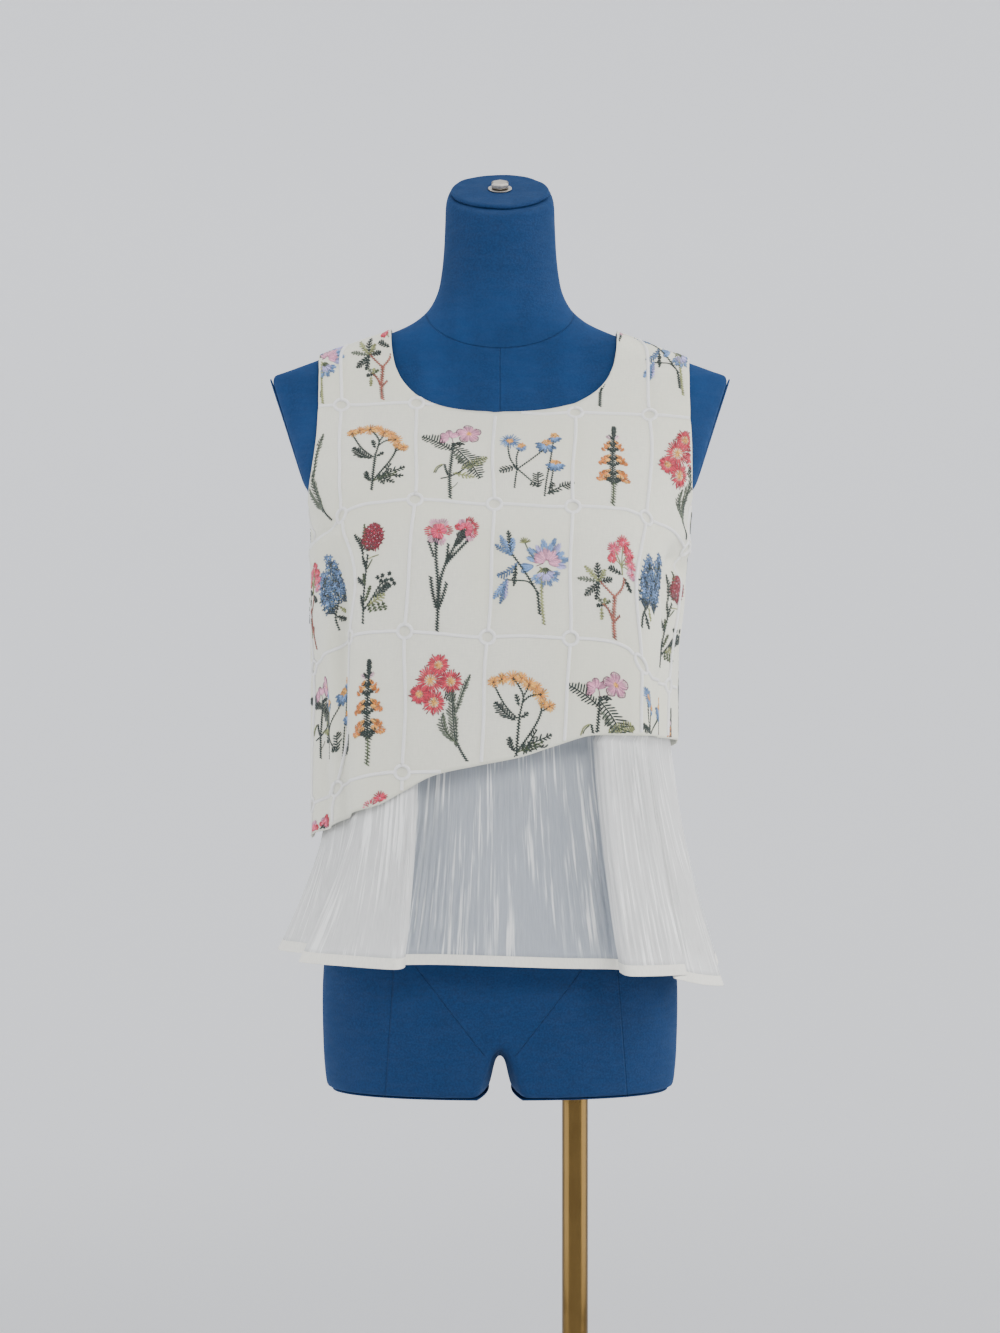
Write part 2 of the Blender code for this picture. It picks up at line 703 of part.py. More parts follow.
def turned_mesh(name, radius, low, high, sides, centre=(0.0, 0.0)):
    """A closed cylinder about a vertical line."""
    work = bmesh.new()
    bmesh.ops.create_cone(
        work,
        cap_ends=True,
        segments=sides,
        radius1=radius * MM,
        radius2=radius * MM,
        depth=(high - low) * MM,
    )
    for vert in work.verts:
        vert.co.x += centre[0] * MM
        vert.co.y += centre[1] * MM
        vert.co.z += (low + high) / 2 * MM
    return finished(name, work)


def neck_plane(front, slope, shift=0.0):
    """(point, unit normal) of a plane that rises towards the back, moved along its normal by shift."""
    length = math.hypot(slope, 1)
    normal = (0.0, -slope / length, 1 / length)
    y, z = front
    return (0.0, y + shift * normal[1], z + shift * normal[2]), normal


def opposite(normal):
    return tuple(-v for v in normal)


def add_form(collection, cutters, finish):
    torso = figure_mesh("form_torso")
    seam, seam_normal = neck_plane(NECK_SEAM_FRONT, NECK_SEAM_SLOPE, -SEAM_GAP)
    keep_side(torso, seam, seam_normal)
    keep_side(torso, (0, 0, FORM_FOOT_Z + THIGH_PLATE + SEAM_GAP), (0, 0, -1))
    torso_obj = add_object("form_torso", torso, finish, collection)
    notch = add_cutter("cut_notch", notch_mesh("cut_notch"), cutters)
    socket = turned_mesh(
        "cut_socket",
        POLE_RADIUS + SEAM_GAP,
        FORM_FOOT_Z - 20,
        FORM_FOOT_Z + POLE_IN_FORM + SEAM_GAP,
        24,
        (POLE_X, 0),
    )
    socket = add_cutter("cut_socket", socket, cutters)
    cut(torso_obj, notch)
    cut(torso_obj, socket)
    for side, word in ((-1, "right"), (1, "left")):
        away = arm_block("cut_arm_" + word, side, -ARM_PLATE - SEAM_GAP, 60, ARM_FOOT_Z, cutters)
        cut(torso_obj, away)
        plate_obj = add_object("arm_plate_" + word, figure_mesh("arm_plate_" + word), finish, collection)
        slab = arm_block("keep_arm_" + word, side, -ARM_PLATE, 0, ARM_FOOT_Z + SEAM_GAP, cutters)
        cut(plate_obj, slab, "INTERSECT")
    neck = figure_mesh("form_neck")
    seam, seam_normal = neck_plane(NECK_SEAM_FRONT, NECK_SEAM_SLOPE)
    keep_side(neck, seam, opposite(seam_normal))
    top, top_normal = neck_plane(NECK_TOP_FRONT, NECK_TOP_SLOPE)
    keep_side(neck, top, top_normal)
    add_object("form_neck", neck, finish, collection)
    for side, word in ((-1, "right"), (1, "left")):
        plate = figure_mesh("thigh_plate_" + word)
        keep_side(plate, (0, 0, FORM_FOOT_Z + THIGH_PLATE), (0, 0, 1))
        keep_side(plate, (side * 2.0, 0, FORM_FOOT_Z), (-side, 0, 0))
        plate_obj = add_object("thigh_plate_" + word, plate, finish, collection)
        cut(plate_obj, notch)
        if side > 0:
            cut(plate_obj, socket)


def add_neck_cap(collection, finish, metal):
    """A covered disc on the slanting top of the neck, held by a nut on a washer."""
    tilt = math.atan(NECK_TOP_SLOPE)
    y_front, z_front = NECK_TOP_FRONT
    z_middle = z_front + (0 - y_front) * NECK_TOP_SLOPE
    mount = bpy.data.objects.new("neck_top", None)
    mount.location = (0, 0, z_middle * MM)
    mount.rotation_euler = (tilt, 0, 0)
    collection.objects.link(mount)
    low = SEAM_GAP
    cap = turned_mesh("neck_cap", 1.0, low, low + CAP_THICKNESS, 32)
    for vert in cap.vertices:
        vert.co.x *= CAP_HALF_WIDTH
        vert.co.y *= CAP_HALF_DEPTH
    low += CAP_THICKNESS + SEAM_GAP
    washer = turned_mesh("cap_washer", WASHER_RADIUS, low, low + WASHER_HEIGHT, 20)
    low += WASHER_HEIGHT + SEAM_GAP
    nut = turned_mesh("cap_nut", NUT_RADIUS, low, low + NUT_HEIGHT, 6)
    for mesh, look, round_by in ((cap, finish, 1.0), (washer, metal, 0.25), (nut, metal, 1.4)):
        obj = add_object(mesh.name, mesh, look, collection)
        obj.parent = mount
        edge = obj.modifiers.new("edge", "BEVEL")
        edge.width = round_by * MM
        edge.segments = 2
        edge.limit_method = "ANGLE"
        mesh.set_sharp_from_angle(angle=math.radians(35))


def add_stand(collection, metal):
    foot = turned_mesh("stand_foot", FOOT_RADIUS, 0, FOOT_THICKNESS, 48)
    pole = turned_mesh(
        "stand_pole",
        POLE_RADIUS,
        FOOT_THICKNESS + SEAM_GAP,
        FORM_FOOT_Z + POLE_IN_FORM,
        24,
        (POLE_X, 0),
    )
    for mesh in (foot, pole):
        obj = add_object(mesh.name, mesh, metal, collection)
        mesh.set_sharp_from_angle(angle=math.radians(35))
        if mesh is foot:
            edge = obj.modifiers.new("edge", "BEVEL")
            edge.width = FOOT_EDGE * MM
            edge.segments = 2
            edge.limit_method = "ANGLE"
    add_collar(collection, metal)


def add_collar(collection, metal):
    """A turned ring on the foot, round the pole."""
    low = FOOT_THICKNESS + SEAM_GAP
    inner = POLE_RADIUS + SEAM_GAP
    profile = (
        (inner, low + COLLAR_HEIGHT),
        (COLLAR_RADIUS - 7, low + COLLAR_HEIGHT),
        (COLLAR_RADIUS - 5, low + COLLAR_HEIGHT - 2),
        (COLLAR_RADIUS - 5, low + 8),
        (COLLAR_RADIUS, low + 4),
        (COLLAR_RADIUS, low),
        (inner, low),
    )
    mesh = bpy.data.meshes.new("stand_collar")
    count = len(profile)
    mesh.from_pydata(
        [(x * MM, 0, z * MM) for x, z in profile],
        [(k, (k + 1) % count) for k in range(count)],
        [],
    )
    obj = add_object("stand_collar", mesh, metal, collection)
    obj.location.x = POLE_X * MM
    spin = obj.modifiers.new("turn", "SCREW")
    spin.steps = spin.render_steps = 24
    spin.use_merge_vertices = True
    spin.merge_threshold = 0.0001


def main():
    for obj in list(bpy.data.objects):
        bpy.data.objects.remove(obj)
    garment = bpy.data.collections.new("sleeveless_top_on_form")
    cutters = bpy.data.collections.new("cutters")
    for collection in (garment, cutters):
        bpy.context.scene.collection.children.link(collection)
    cream = material("cream_cloth", (0.78, 0.76, 0.68), 0.85)
    sheer = material("sheer_crinkle", (0.82, 0.82, 0.80), 0.4)
    suede = material("blue_suede", (0.03, 0.11, 0.26), 0.9)
    brass = material("brass", (0.62, 0.44, 0.2), 0.25, 1.0)
    steel = material("steel", (0.6, 0.58, 0.55), 0.3, 1.0)
    add_bodice(garment, cream)
    add_peplum(garment, sheer)
    add_form(garment, cutters, suede)
    add_neck_cap(garment, suede, steel)
    add_stand(garment, brass)


main()
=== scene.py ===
"""Looks of a sleeveless two-layer top on a limbless dress form: an embroidered bodice with a grid of raised
cords, a sheer crinkled peplum, a suede-covered form with its seams, and a brass stand."""

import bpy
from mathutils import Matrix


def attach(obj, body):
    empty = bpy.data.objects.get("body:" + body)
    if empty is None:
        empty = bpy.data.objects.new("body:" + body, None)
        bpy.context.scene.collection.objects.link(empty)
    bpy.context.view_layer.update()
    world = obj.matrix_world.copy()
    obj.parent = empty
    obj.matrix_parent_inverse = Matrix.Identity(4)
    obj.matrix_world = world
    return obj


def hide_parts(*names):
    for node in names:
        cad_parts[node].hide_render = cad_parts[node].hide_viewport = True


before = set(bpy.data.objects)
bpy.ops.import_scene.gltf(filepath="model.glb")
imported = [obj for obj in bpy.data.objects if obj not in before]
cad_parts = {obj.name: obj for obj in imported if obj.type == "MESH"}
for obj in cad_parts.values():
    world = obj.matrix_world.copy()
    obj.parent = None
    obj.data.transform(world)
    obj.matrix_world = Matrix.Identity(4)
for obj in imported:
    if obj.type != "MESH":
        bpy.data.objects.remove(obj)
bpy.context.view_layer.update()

import math
import random
from collections import namedtuple

import bmesh
import bpy
import numpy as np
from mathutils import Matrix, Vector

bl_info = {
    "name": "Sleeveless top on a dress form",
    "version": (1, 0, 0),
    "blender": (4, 5, 0),
    "location": "View3D > Sidebar > Top",
    "description": "Cloth, embroidery, form and stand of a sleeveless two-layer top",
    "category": "Object",
}

# The tables are in millimetres, in the CAD's frame, and MM turns them into metres where a mesh is made.
MM = 0.001
SEAM_GAP = 0.4

# Rings of the figure and of the hanging cloth: half_width is along X, front and back along -Y and +Y, and
# fullness is the superellipse exponent.
Ring = namedtuple("Ring", "z half_width front back fullness")
SHOULDERS_AND_NECK = (
    Ring(1240, 178, 99, 101, 2.8),
    Ring(1270, 188, 74, 98, 2.8),
    Ring(1295, 196, 52, 92, 2.6),
    Ring(1315, 203, 41, 84, 2.3),
    Ring(1329, 206, 36, 76, 2.1),
    Ring(1336, 187, 35, 71, 2.0),
    Ring(1347, 157, 36, 66, 2.0),
    Ring(1358, 127, 39, 61, 2.0),
    Ring(1369, 96, 43, 58, 2.0),
    Ring(1378, 76, 46, 57, 2.0),
    Ring(1390, 62, 48, 56, 2.0),
    Ring(1410, 53, 49, 55, 2.0),
    Ring(1445, 49, 49, 52, 2.0),
    Ring(1535, 46, 49, 48, 2.0),
)
FIGURE = (
    Ring(711, 151, 92, 105, 2.3),
    Ring(745, 154, 97, 112, 2.3),
    Ring(790, 155, 100, 118, 2.3),
    Ring(850, 151, 98, 110, 2.2),
    Ring(905, 136, 92, 94, 2.2),
    Ring(975, 116, 82, 76, 2.2),
    Ring(1030, 121, 88, 76, 2.2),
    Ring(1090, 134, 105, 84, 2.3),
    Ring(1135, 144, 121, 91, 2.4),
    Ring(1165, 149, 128, 95, 2.5),
    Ring(1190, 152, 127, 99, 2.5),
    Ring(1213, 159, 119, 101, 2.6),
    *SHOULDERS_AND_NECK,
)
HANGING = (
    Ring(915, 161, 127, 104, 3.2),
    Ring(1000, 161, 131, 104, 3.2),
    Ring(1100, 161, 136, 104, 3.1),
    Ring(1150, 161, 137, 105, 3.0),
    Ring(1185, 161, 133, 104, 2.9),
    Ring(1213, 163, 121, 102, 2.8),
    *SHOULDERS_AND_NECK,
)

# Bodice panels
LIFT = 3.5
YOKE_Z = 1213.0
NECK_HALF_WIDTH = 97.0
NECK_SHARE = 0.36
NECK_FULLNESS = 2.8
SHOULDER_POINT_X = 160.0
SHOULDER_GAP = 0.5
SHOULDER_SHIFT = 3.5
SHIFT_HEIGHT = 70.0
ARMHOLE_MIDDLE_Z = 1272.0
ArmholeEdge = namedtuple("ArmholeEdge", "z front_x back_x")
ARMHOLE = (
    ArmholeEdge(1213, 163.0, 163.0),
    ArmholeEdge(1220, 162.5, 162.0),
    ArmholeEdge(1235, 161.0, 160.0),
    ArmholeEdge(1255, 160.0, 158.5),
    ArmholeEdge(1280, 159.5, 158.5),
    ArmholeEdge(1310, 159.5, 159.0),
    ArmholeEdge(1347, 160.0, 160.0),
)
# Heights between which the shoulder line and a panel's middle line are sought.
RIDGE_HEIGHTS = (1331, 1400)
MIDDLE_HEIGHTS = (880.0, 1440.0)
# Columns of a panel's grid from its middle to the neckline's corner and on to the side, and rows from the hem
# to the yoke, to the straps and over them; the edge needs fewer rows.
BODICE_COLUMNS = (26, 44)
BODICE_ROWS = (62, 24, 28)
EDGE_ROWS = (40, 24, 28)
# share runs along a panel from its left side seam (-1) through its middle (0) to its right (1).
HemPoint = namedtuple("HemPoint", "share z")
FRONT_HEM = (
    HemPoint(-1.0, 929.0),
    HemPoint(-0.75, 940.0),
    HemPoint(-0.515, 956.0),
    HemPoint(-0.415, 962.5),
    HemPoint(-0.32, 975.0),
    HemPoint(-0.22, 988.0),
    HemPoint(-0.065, 996.5),
    HemPoint(0.065, 1003.0),
    HemPoint(0.19, 1013.0),
    HemPoint(0.32, 1021.5),
    HemPoint(0.45, 1021.0),
    HemPoint(0.75, 1017.0),
    HemPoint(1.0, 1014.0),
)
BACK_HEM = (
    HemPoint(-1.0, 929.0),
    HemPoint(-0.5, 941.0),
    HemPoint(0.0, 968.0),
    HemPoint(0.5, 1000.0),
    HemPoint(1.0, 1014.0),
)
# Large folds: a trough (depth below 0) or a ridge (above 0) that fades in below top_z.
Fold = namedtuple("Fold", "share reach depth top_z fade")
LEFT_SIDE_FOLD = Fold(1.0, 0.3, -9.0, 1195, 110)
FRONT_FOLDS = (
    LEFT_SIDE_FOLD,
    Fold(-0.475, 0.05, 3.0, 1185, 70),
    Fold(-0.605, 0.075, -18.0, 1200, 70),
    Fold(-0.755, 0.075, -14.0, 1130, 90),
    Fold(0.47, 0.05, 3.0, 1185, 70),
    Fold(0.675, 0.08, -18.0, 1210, 80),
    Fold(0.82, 0.08, -9.0, 1130, 90),
    Fold(0.56, 0.05, -8.0, 1110, 60),
)
BACK_FOLDS = (
    LEFT_SIDE_FOLD,
    Fold(-0.62, 0.08, -6.0, 1180, 90),
    Fold(-0.2, 0.1, -4.0, 1130, 110),
    Fold(0.25, 0.1, -4.0, 1150, 110),
    Fold(0.6, 0.08, -6.0, 1190, 90),
)
# Small creases: soft lines across the cloth from (u0, z0) to (u1, z1), where u is the length round the panel
# from its middle.
Crease = namedtuple("Crease", "u0 z0 u1 z1 reach depth")
RIGHT_ARM_CREASE = Crease(-150, 1262, -96, 1214, 9, -1.1)
LEFT_ARM_CREASE = Crease(150, 1262, 104, 1220, 9, -1.1)
FRONT_CREASES = (
    RIGHT_ARM_CREASE,
    Crease(-158, 1236, -108, 1188, 8, -1.0),
    Crease(-176, 1216, -136, 1150, 8, -1.4),
    Crease(-196, 1180, -150, 1120, 9, -1.6),
    LEFT_ARM_CREASE,
    Crease(168, 1230, 120, 1180, 8, -1.3),
    Crease(206, 1196, 158, 1140, 9, -1.5),
    Crease(168, 1172, 225, 1158, 9, -9.0),
    Crease(150, 1195, 215, 1180, 9, 4.0),
    Crease(-140, 1200, -215, 1190, 7, -5.0),
    Crease(-140, 1187, -215, 1175, 9, 3.0),
    Crease(-60, 1290, -20, 1236, 16, 0.8),
    Crease(66, 1290, 24, 1240, 16, 0.8),
    Crease(-112, 1130, -96, 975, 12, 1.3),
    Crease(-32, 1120, -44, 985, 16, 1.1),
    Crease(30, 1150, 22, 1010, 14, -0.9),
    Crease(92, 1160, 96, 1030, 12, 1.2),
    Crease(-128, 1330, -118, 1280, 10, -0.8),
    Crease(128, 1330, 118, 1280, 10, -0.8),
)
BACK_CREASES = (
    RIGHT_ARM_CREASE,
    LEFT_ARM_CREASE,
    Crease(-60, 1180, -30, 1010, 16, 1.2),
    Crease(70, 1190, 40, 1030, 14, 1.2),
    Crease(0, 1300, 0, 1220, 18, 0.8),
)
Panel = namedtuple("Panel", "name facing hem folds creases neck_drop")
FRONT = Panel("front", -1, FRONT_HEM, FRONT_FOLDS, FRONT_CREASES, 73.0)
BACK = Panel("back", 1, BACK_HEM, BACK_FOLDS, BACK_CREASES, 24.0)

# The embroidered grid: upright lines stand at FIRST_LINE plus whole pitches round the cloth, and level lines
# at whole ROW_HEIGHTs of cloth above and below LEVEL_Z.
LINE_PITCH = 67.0
FIRST_LINE = -11.0
ROW_HEIGHT = 114.0
LEVEL_Z = 1104.0
RING_RADIUS = 5.7
RING_WIDTH = 1.06
RING_SIDES = 28
RING_CLEARANCE = 0.3
GRID_COLUMNS = range(-3, 5)
GRID_LEVELS = range(-1, 3)
CORD_STEP = 1.6
CORD_SPAN_U = (-225.0, 225.0)
CORD_SPAN_V = (-175.0, 330.0)
CORD_LIFT = 0.2
CORD_SIDES = 8
# Cords and stitches stop this far inside the cloth's edge.
EDGE_MARGIN = 1.5
# The cords draw the cloth in by PILLOW_DEPTH, fading over PILLOW_REACH.
PILLOW_DEPTH = 1.1
PILLOW_REACH = 5.0
# Small creases fade out over SIDE_FADE before the side seams.
SIDE_FADE = 14.0
# Rounds that settle a place which depends on itself.
SETTLING_ROUNDS = 4
# Where the hanging cloth carries the level lines down: on the second line (upper) and below it (lower).
Droop = namedtuple("Droop", "u upper lower")
DROOPS = (
    Droop(-240, 42, 40),
    Droop(-200, 38, 26),
    Droop(-180, 34, 20),
    Droop(-165, 26, 15),
    Droop(-150, 18, 9),
    Droop(-140, 11, 7),
    Droop(-128, 6, 6),
    Droop(-105, 1, 2),
    Droop(-85, 0, 0),
    Droop(60, 0, 0),
    Droop(90, 1, 2),
    Droop(105, 2, 6),
    Droop(117, 6, 18),
    Droop(125, 9, 25),
    Droop(135, 13, 31),
    Droop(165, 23, 36),
    Droop(195, 32, 40),
    Droop(240, 38, 44),
)
# Sideways shifts of every upright line at the cloth heights v, then further bends of single ones.
LEAN = ((-130, -5.0), (-60, -1.5), (0, 0.6), (60, 3.0), (114, 5.5), (228, 7.0), (320, 7.0))
BENDS = {
    -2: ((-130, -18.0), (-60, 0.0), (0, 12.0), (45, 20.0), (114, 0.0)),
    2: ((-60, -4.0), (0, -5.0), (57, -10.0), (114, -3.0), (228, -1.0)),
}
# Shifts up or down of single level lines at the places u.
STEPS = {
    0: ((-78, 4.5), (-11, 0.0), (60, -2.5)),
    1: ((-75, 3.0), (-45, 0.0), (-15, -3.5)),
    2: ((-78, 0.0), (-20, -5.0), (40, -11.0)),
}


def smooth(xs, ys, x):
    """A monotone cubic through (xs, ys), which never passes the heights that it joins."""
    xs, ys, x = (np.asarray(v, float) for v in (xs, ys, x))
    steps = np.diff(xs)
    rises = np.diff(ys) / steps
    both = rises[:-1] * rises[1:]
    total = rises[:-1] + rises[1:]
    slopes = np.empty(len(xs))
    slopes[0], slopes[-1] = rises[0], rises[-1]
    slopes[1:-1] = np.where(both > 0, 2 * both / np.where(total == 0, 1, total), 0)
    i = np.clip(np.searchsorted(xs, x) - 1, 0, len(xs) - 2)
    t = np.clip((x - xs[i]) / steps[i], 0, 1)
    return (
        ys[i] * (1 + 2 * t) * (1 - t) ** 2
        + slopes[i] * steps[i] * t * (1 - t) ** 2
        + ys[i + 1] * t * t * (3 - 2 * t)
        + slopes[i + 1] * steps[i] * t * t * (t - 1)
    )


def ease(t):
    t = np.clip(t, 0, 1)
    return t * t * (3 - 2 * t)


def run_lengths(x, y):
    """Length of the path through the points (x, y), up to each of them."""
    return np.concatenate([[0], np.cumsum(np.hypot(np.diff(x), np.diff(y)))])


def ring_sizes(table, z):
    """half_width, front, back and fullness of the table's surface at the heights z."""
    heights = [row.z for row in table]
    columns = ("half_width", "front", "back", "fullness")
    return [smooth(heights, [getattr(row, name) for row in table], z) for name in columns]


def ring_xy(sizes, angle):
    """Plan position on a ring: angle 0 is the middle of the front, pi / 2 the wearer's left side, at +X."""
    half_width, front, back, fullness = sizes
    sine, cosine = np.sin(angle), np.cos(angle)
    depth = np.where(cosine > 0, front, back)
    x = half_width * np.sign(sine) * np.abs(sine) ** (2 / fullness)
    y = -depth * np.sign(cosine) * np.abs(cosine) ** (2 / fullness)
    return x, y


def surface_level(table, x, y, z):
    half_width, front, back, fullness = ring_sizes(table, z)
    depth = np.where(y < 0, front, back)
    return (np.abs(x) / half_width) ** fullness + (np.abs(y) / depth) ** fullness


def outward(table, x, y, z):
    """Unit normals of the table's surface, from the slope of its level along each axis."""
    h = 0.05
    slopes = (
        surface_level(table, x + h, y, z) - surface_level(table, x - h, y, z),
        surface_level(table, x, y + h, z) - surface_level(table, x, y - h, z),
        surface_level(table, x, y, z + h) - surface_level(table, x, y, z - h),
    )
    normal = np.stack(np.broadcast_arrays(*slopes))
    return normal / np.linalg.norm(normal, axis=0)


def quarter_lengths(table, z, facing):
    """Angles of a quarter ring at each height z, and the length round the ring up to each angle."""
    angles = ease(np.linspace(0, 1, 241)) * math.pi / 2
    half_width, front, back, fullness = (size[:, None] for size in ring_sizes(table, z))
    depth = front if facing < 0 else back
    x = half_width * np.sin(angles) ** (2 / fullness)
    y = depth * np.abs(np.cos(angles)) ** (2 / fullness)
    steps = np.hypot(np.diff(x, axis=1), np.diff(y, axis=1))
    return angles, np.pad(np.cumsum(steps, axis=1), ((0, 0), (1, 0)))


def half_round(z, facing):
    """Length of cloth at each height z from a panel's middle to its side seam."""
    return quarter_lengths(HANGING, z, facing)[1][:, -1]


def point_round(table, z, length, facing):
    """(x, y) at a length round the ring at each height z, counted from the middle of the panel."""
    angles, lengths = quarter_lengths(table, z, facing)
    found = np.array([np.interp(abs(s), row, angles) for s, row in zip(length, lengths)])
    half_width, front, back, fullness = ring_sizes(table, z)
    depth = front if facing < 0 else back
    x = np.sign(length) * half_width * np.sin(found) ** (2 / fullness)
    y = facing * depth * np.abs(np.cos(found)) ** (2 / fullness)
    return x, y


def length_at(table, x, z, facing):
    """Length round the ring at each height z, from the middle of the panel to x."""
    angles, lengths = quarter_lengths(table, z, facing)
    half_width, _, _, fullness = ring_sizes(table, z)
    across = np.clip(np.abs(x) / half_width, 0, 1)
    found = np.arcsin(across ** (fullness / 2))
    length = np.array([np.interp(a, angles, row) for a, row in zip(found, lengths)])
    return np.sign(x) * length


def ridge_z(x):
    """Height of the shoulder line over x."""
    heights = np.linspace(*RIDGE_HEIGHTS, 400)
    widths = ring_sizes(HANGING, heights)[0]
    return np.interp(np.abs(x), widths[::-1], heights[::-1])


def fold_depth(folds, share, z):
    depth = np.zeros(np.broadcast(share, z).shape)
    for fold in folds:
        across = np.exp(-(((share - fold.share) / fold.reach) ** 2))
        depth = depth + fold.depth * across * ease((fold.top_z - z) / fold.fade)
    return depth


def crease_depth(creases, u, z):
    """Depth of the small creases at (u, z): each is a soft line that fades out at both ends."""
    depth = np.zeros(np.broadcast(u, z).shape)
    for crease in creases:
        along = np.array([crease.u1 - crease.u0, crease.z1 - crease.z0], float)
        length = math.hypot(*along)
        along /= length
        t = (u - crease.u0) * along[0] + (z - crease.z0) * along[1]
        away = (u - crease.u0) * along[1] - (z - crease.z0) * along[0]
        fade = ease((t + 0.3 * length) / (0.6 * length)) * ease((1.3 * length - t) / (0.6 * length))
        depth = depth + crease.depth * np.exp(-((away / crease.reach) ** 2)) * fade
    return depth


def centre_line(facing):
    """Heights along a panel's middle, and the length of cloth from LEVEL_Z up to each."""
    z = np.arange(*MIDDLE_HEIGHTS)
    _, front, back, _ = ring_sizes(HANGING, z)
    depth = front if facing < 0 else back
    climb = run_lengths(z, depth)
    return z, climb - np.interp(LEVEL_Z, z, climb)


def droop(u, v):
    """How far the level lines sink towards the sides, up to the second line."""
    places = [row.u for row in DROOPS]
    upper, lower = (smooth(places, [getattr(row, name) for row in DROOPS], u) for name in ("upper", "lower"))
    sunk = lower + (upper - lower) * ease(v / ROW_HEIGHT)
    return sunk * (1 - ease((v - ROW_HEIGHT) / ROW_HEIGHT))


def height_of(facing, u, v):
    """Height of the cloth point that lies a length v of cloth above the level line at LEVEL_Z."""
    z, climb = centre_line(facing)
    level = np.interp(v, climb, z)
    return level - (droop(u, v) if facing < 0 else 0)


def climb_of(facing, u, z):
    """The v that height_of turns into z."""
    heights, climb = centre_line(facing)
    v = np.interp(z, heights, climb)
    if facing < 0:
        for _ in range(SETTLING_ROUNDS):
            v = np.interp(z + droop(u, v), heights, climb)
    return v


def line_u(index, v):
    """Place round the cloth of an upright line, which waves a little and leans between the level lines."""
    lean = smooth(*zip(*LEAN), v)
    for line, bend in BENDS.items():
        lean = lean + np.where(index == line, smooth(*zip(*bend), v), 0)
    wave = 1.4 * np.sin(v / 38 + 1.9 * index) + 0.6 * np.sin(v / 15 + index)
    return FIRST_LINE + LINE_PITCH * index + lean + wave


def level_v(index, u):
    """Length of cloth above LEVEL_Z of a level line, which waves a little."""
    v = ROW_HEIGHT * index + 1.1 * np.sin(u / 27 + 2.3 * index) + 0.5 * np.sin(u / 11 + index)
    for level, shift in STEPS.items():
        v = v + np.where(index == level, smooth(*zip(*shift), u), 0)
    return v


def pillow_depth(facing, u, z):
    """The cloth is drawn in along the corded lines and puffs up between them."""
    v = climb_of(facing, u, z)
    line = np.floor((u - FIRST_LINE) / LINE_PITCH)
    level = np.floor(v / ROW_HEIGHT)
    across = np.minimum(np.abs(u - line_u(line, v)), np.abs(u - line_u(line + 1, v)))
    up = np.minimum(np.abs(v - level_v(level, u)), np.abs(v - level_v(level + 1, u)))
    pulls = [PILLOW_DEPTH * np.exp(-((away / PILLOW_REACH) ** 2)) for away in (across, up)]
    return -pulls[0] - pulls[1]


def cloth_reach(panel, u, z, lift):
    """How far the cloth's outer face lies outside the rest surface at (u, z)."""
    half = half_round(z, panel.facing)
    folds = fold_depth(panel.folds, u / half, z)
    small = crease_depth(panel.creases, u, z) + pillow_depth(panel.facing, u, z)
    # The cloth lies smooth at the side seams.
    side = ease((half - np.abs(u)) / SIDE_FADE)
    return lift + folds + small * side


def on_cloth(panel, u, z, lift=LIFT):
    """Points of the cloth's outer face at (u, z), in millimetres, and the face's normals there."""
    x, y = point_round(HANGING, z, u, panel.facing)
    normal = outward(HANGING, x, y, z)
    points = np.stack([x, y, z]) + cloth_reach(panel, u, z, lift) * normal
    points[1] += panel.facing * SEAM_GAP / 2
    return points, normal


def panel_shares(inner_columns, strap_columns):
    """Shares of a panel's columns, with one on each corner of the neckline."""
    inner = np.linspace(0, NECK_SHARE, inner_columns + 1)
    outer = np.linspace(NECK_SHARE, 1, strap_columns + 1)[1:]
    half = np.concatenate([inner, outer])
    return np.concatenate([-half[:0:-1], half])


def neck_corner(neck_drop):
    """(x, z) of the point where the neckline turns from its foot into its side."""
    part = 0.5 ** (1 / NECK_FULLNESS)
    return NECK_HALF_WIDTH * part, ridge_z(NECK_HALF_WIDTH) - neck_drop * part


def top_of_middle(share, neck_drop, edge):
    """(x, z) of a panel's middle rows' upper end: the neckline's foot, then straight to the armhole."""
    size = np.abs(share)
    corner_x, corner_z = neck_corner(neck_drop)
    x = corner_x * np.clip(size / NECK_SHARE, 0, 1)
    fall = (1 - (x / NECK_HALF_WIDTH) ** NECK_FULLNESS) ** (1 / NECK_FULLNESS)
    z = ridge_z(NECK_HALF_WIDTH) - neck_drop * fall
    out = np.clip((size - NECK_SHARE) / (1 - NECK_SHARE), 0, 1)
    x = x + (edge[0] - corner_x) * out
    z = z + (edge[1] - corner_z) * out
    return x * np.sign(share), z


def armhole_x(panel, z):
    widths = [row.front_x if panel.facing < 0 else row.back_x for row in ARMHOLE]
    return smooth([row.z for row in ARMHOLE], widths, z)


def strap_row(panel, share, climb):
    """(x, z) of one row over the shoulder straps, NaN between them; climb runs from 0 to 1."""
    shoulder_z = ridge_z(NECK_HALF_WIDTH)
    _, corner_z = neck_corner(panel.neck_drop)
    inner_z = corner_z + (shoulder_z - corner_z) * climb
    fall = (shoulder_z - inner_z) / panel.neck_drop
    inner_x = NECK_HALF_WIDTH * (1 - fall**NECK_FULLNESS) ** (1 / NECK_FULLNESS)
    outer_z = ARMHOLE_MIDDLE_Z + (ridge_z(SHOULDER_POINT_X) - ARMHOLE_MIDDLE_Z) * climb
    outer_x = armhole_x(panel, outer_z)
    out = (np.abs(share) - NECK_SHARE) / (1 - NECK_SHARE)
    out = np.where(out < -1e-6, np.nan, out)
    x = inner_x + (outer_x - inner_x) * out
    z = inner_z + (outer_z - inner_z) * out
    # The last row lies on the shoulder line itself, where front and back meet.
    return np.sign(share) * x, z + (ridge_z(x) - z) * climb**6


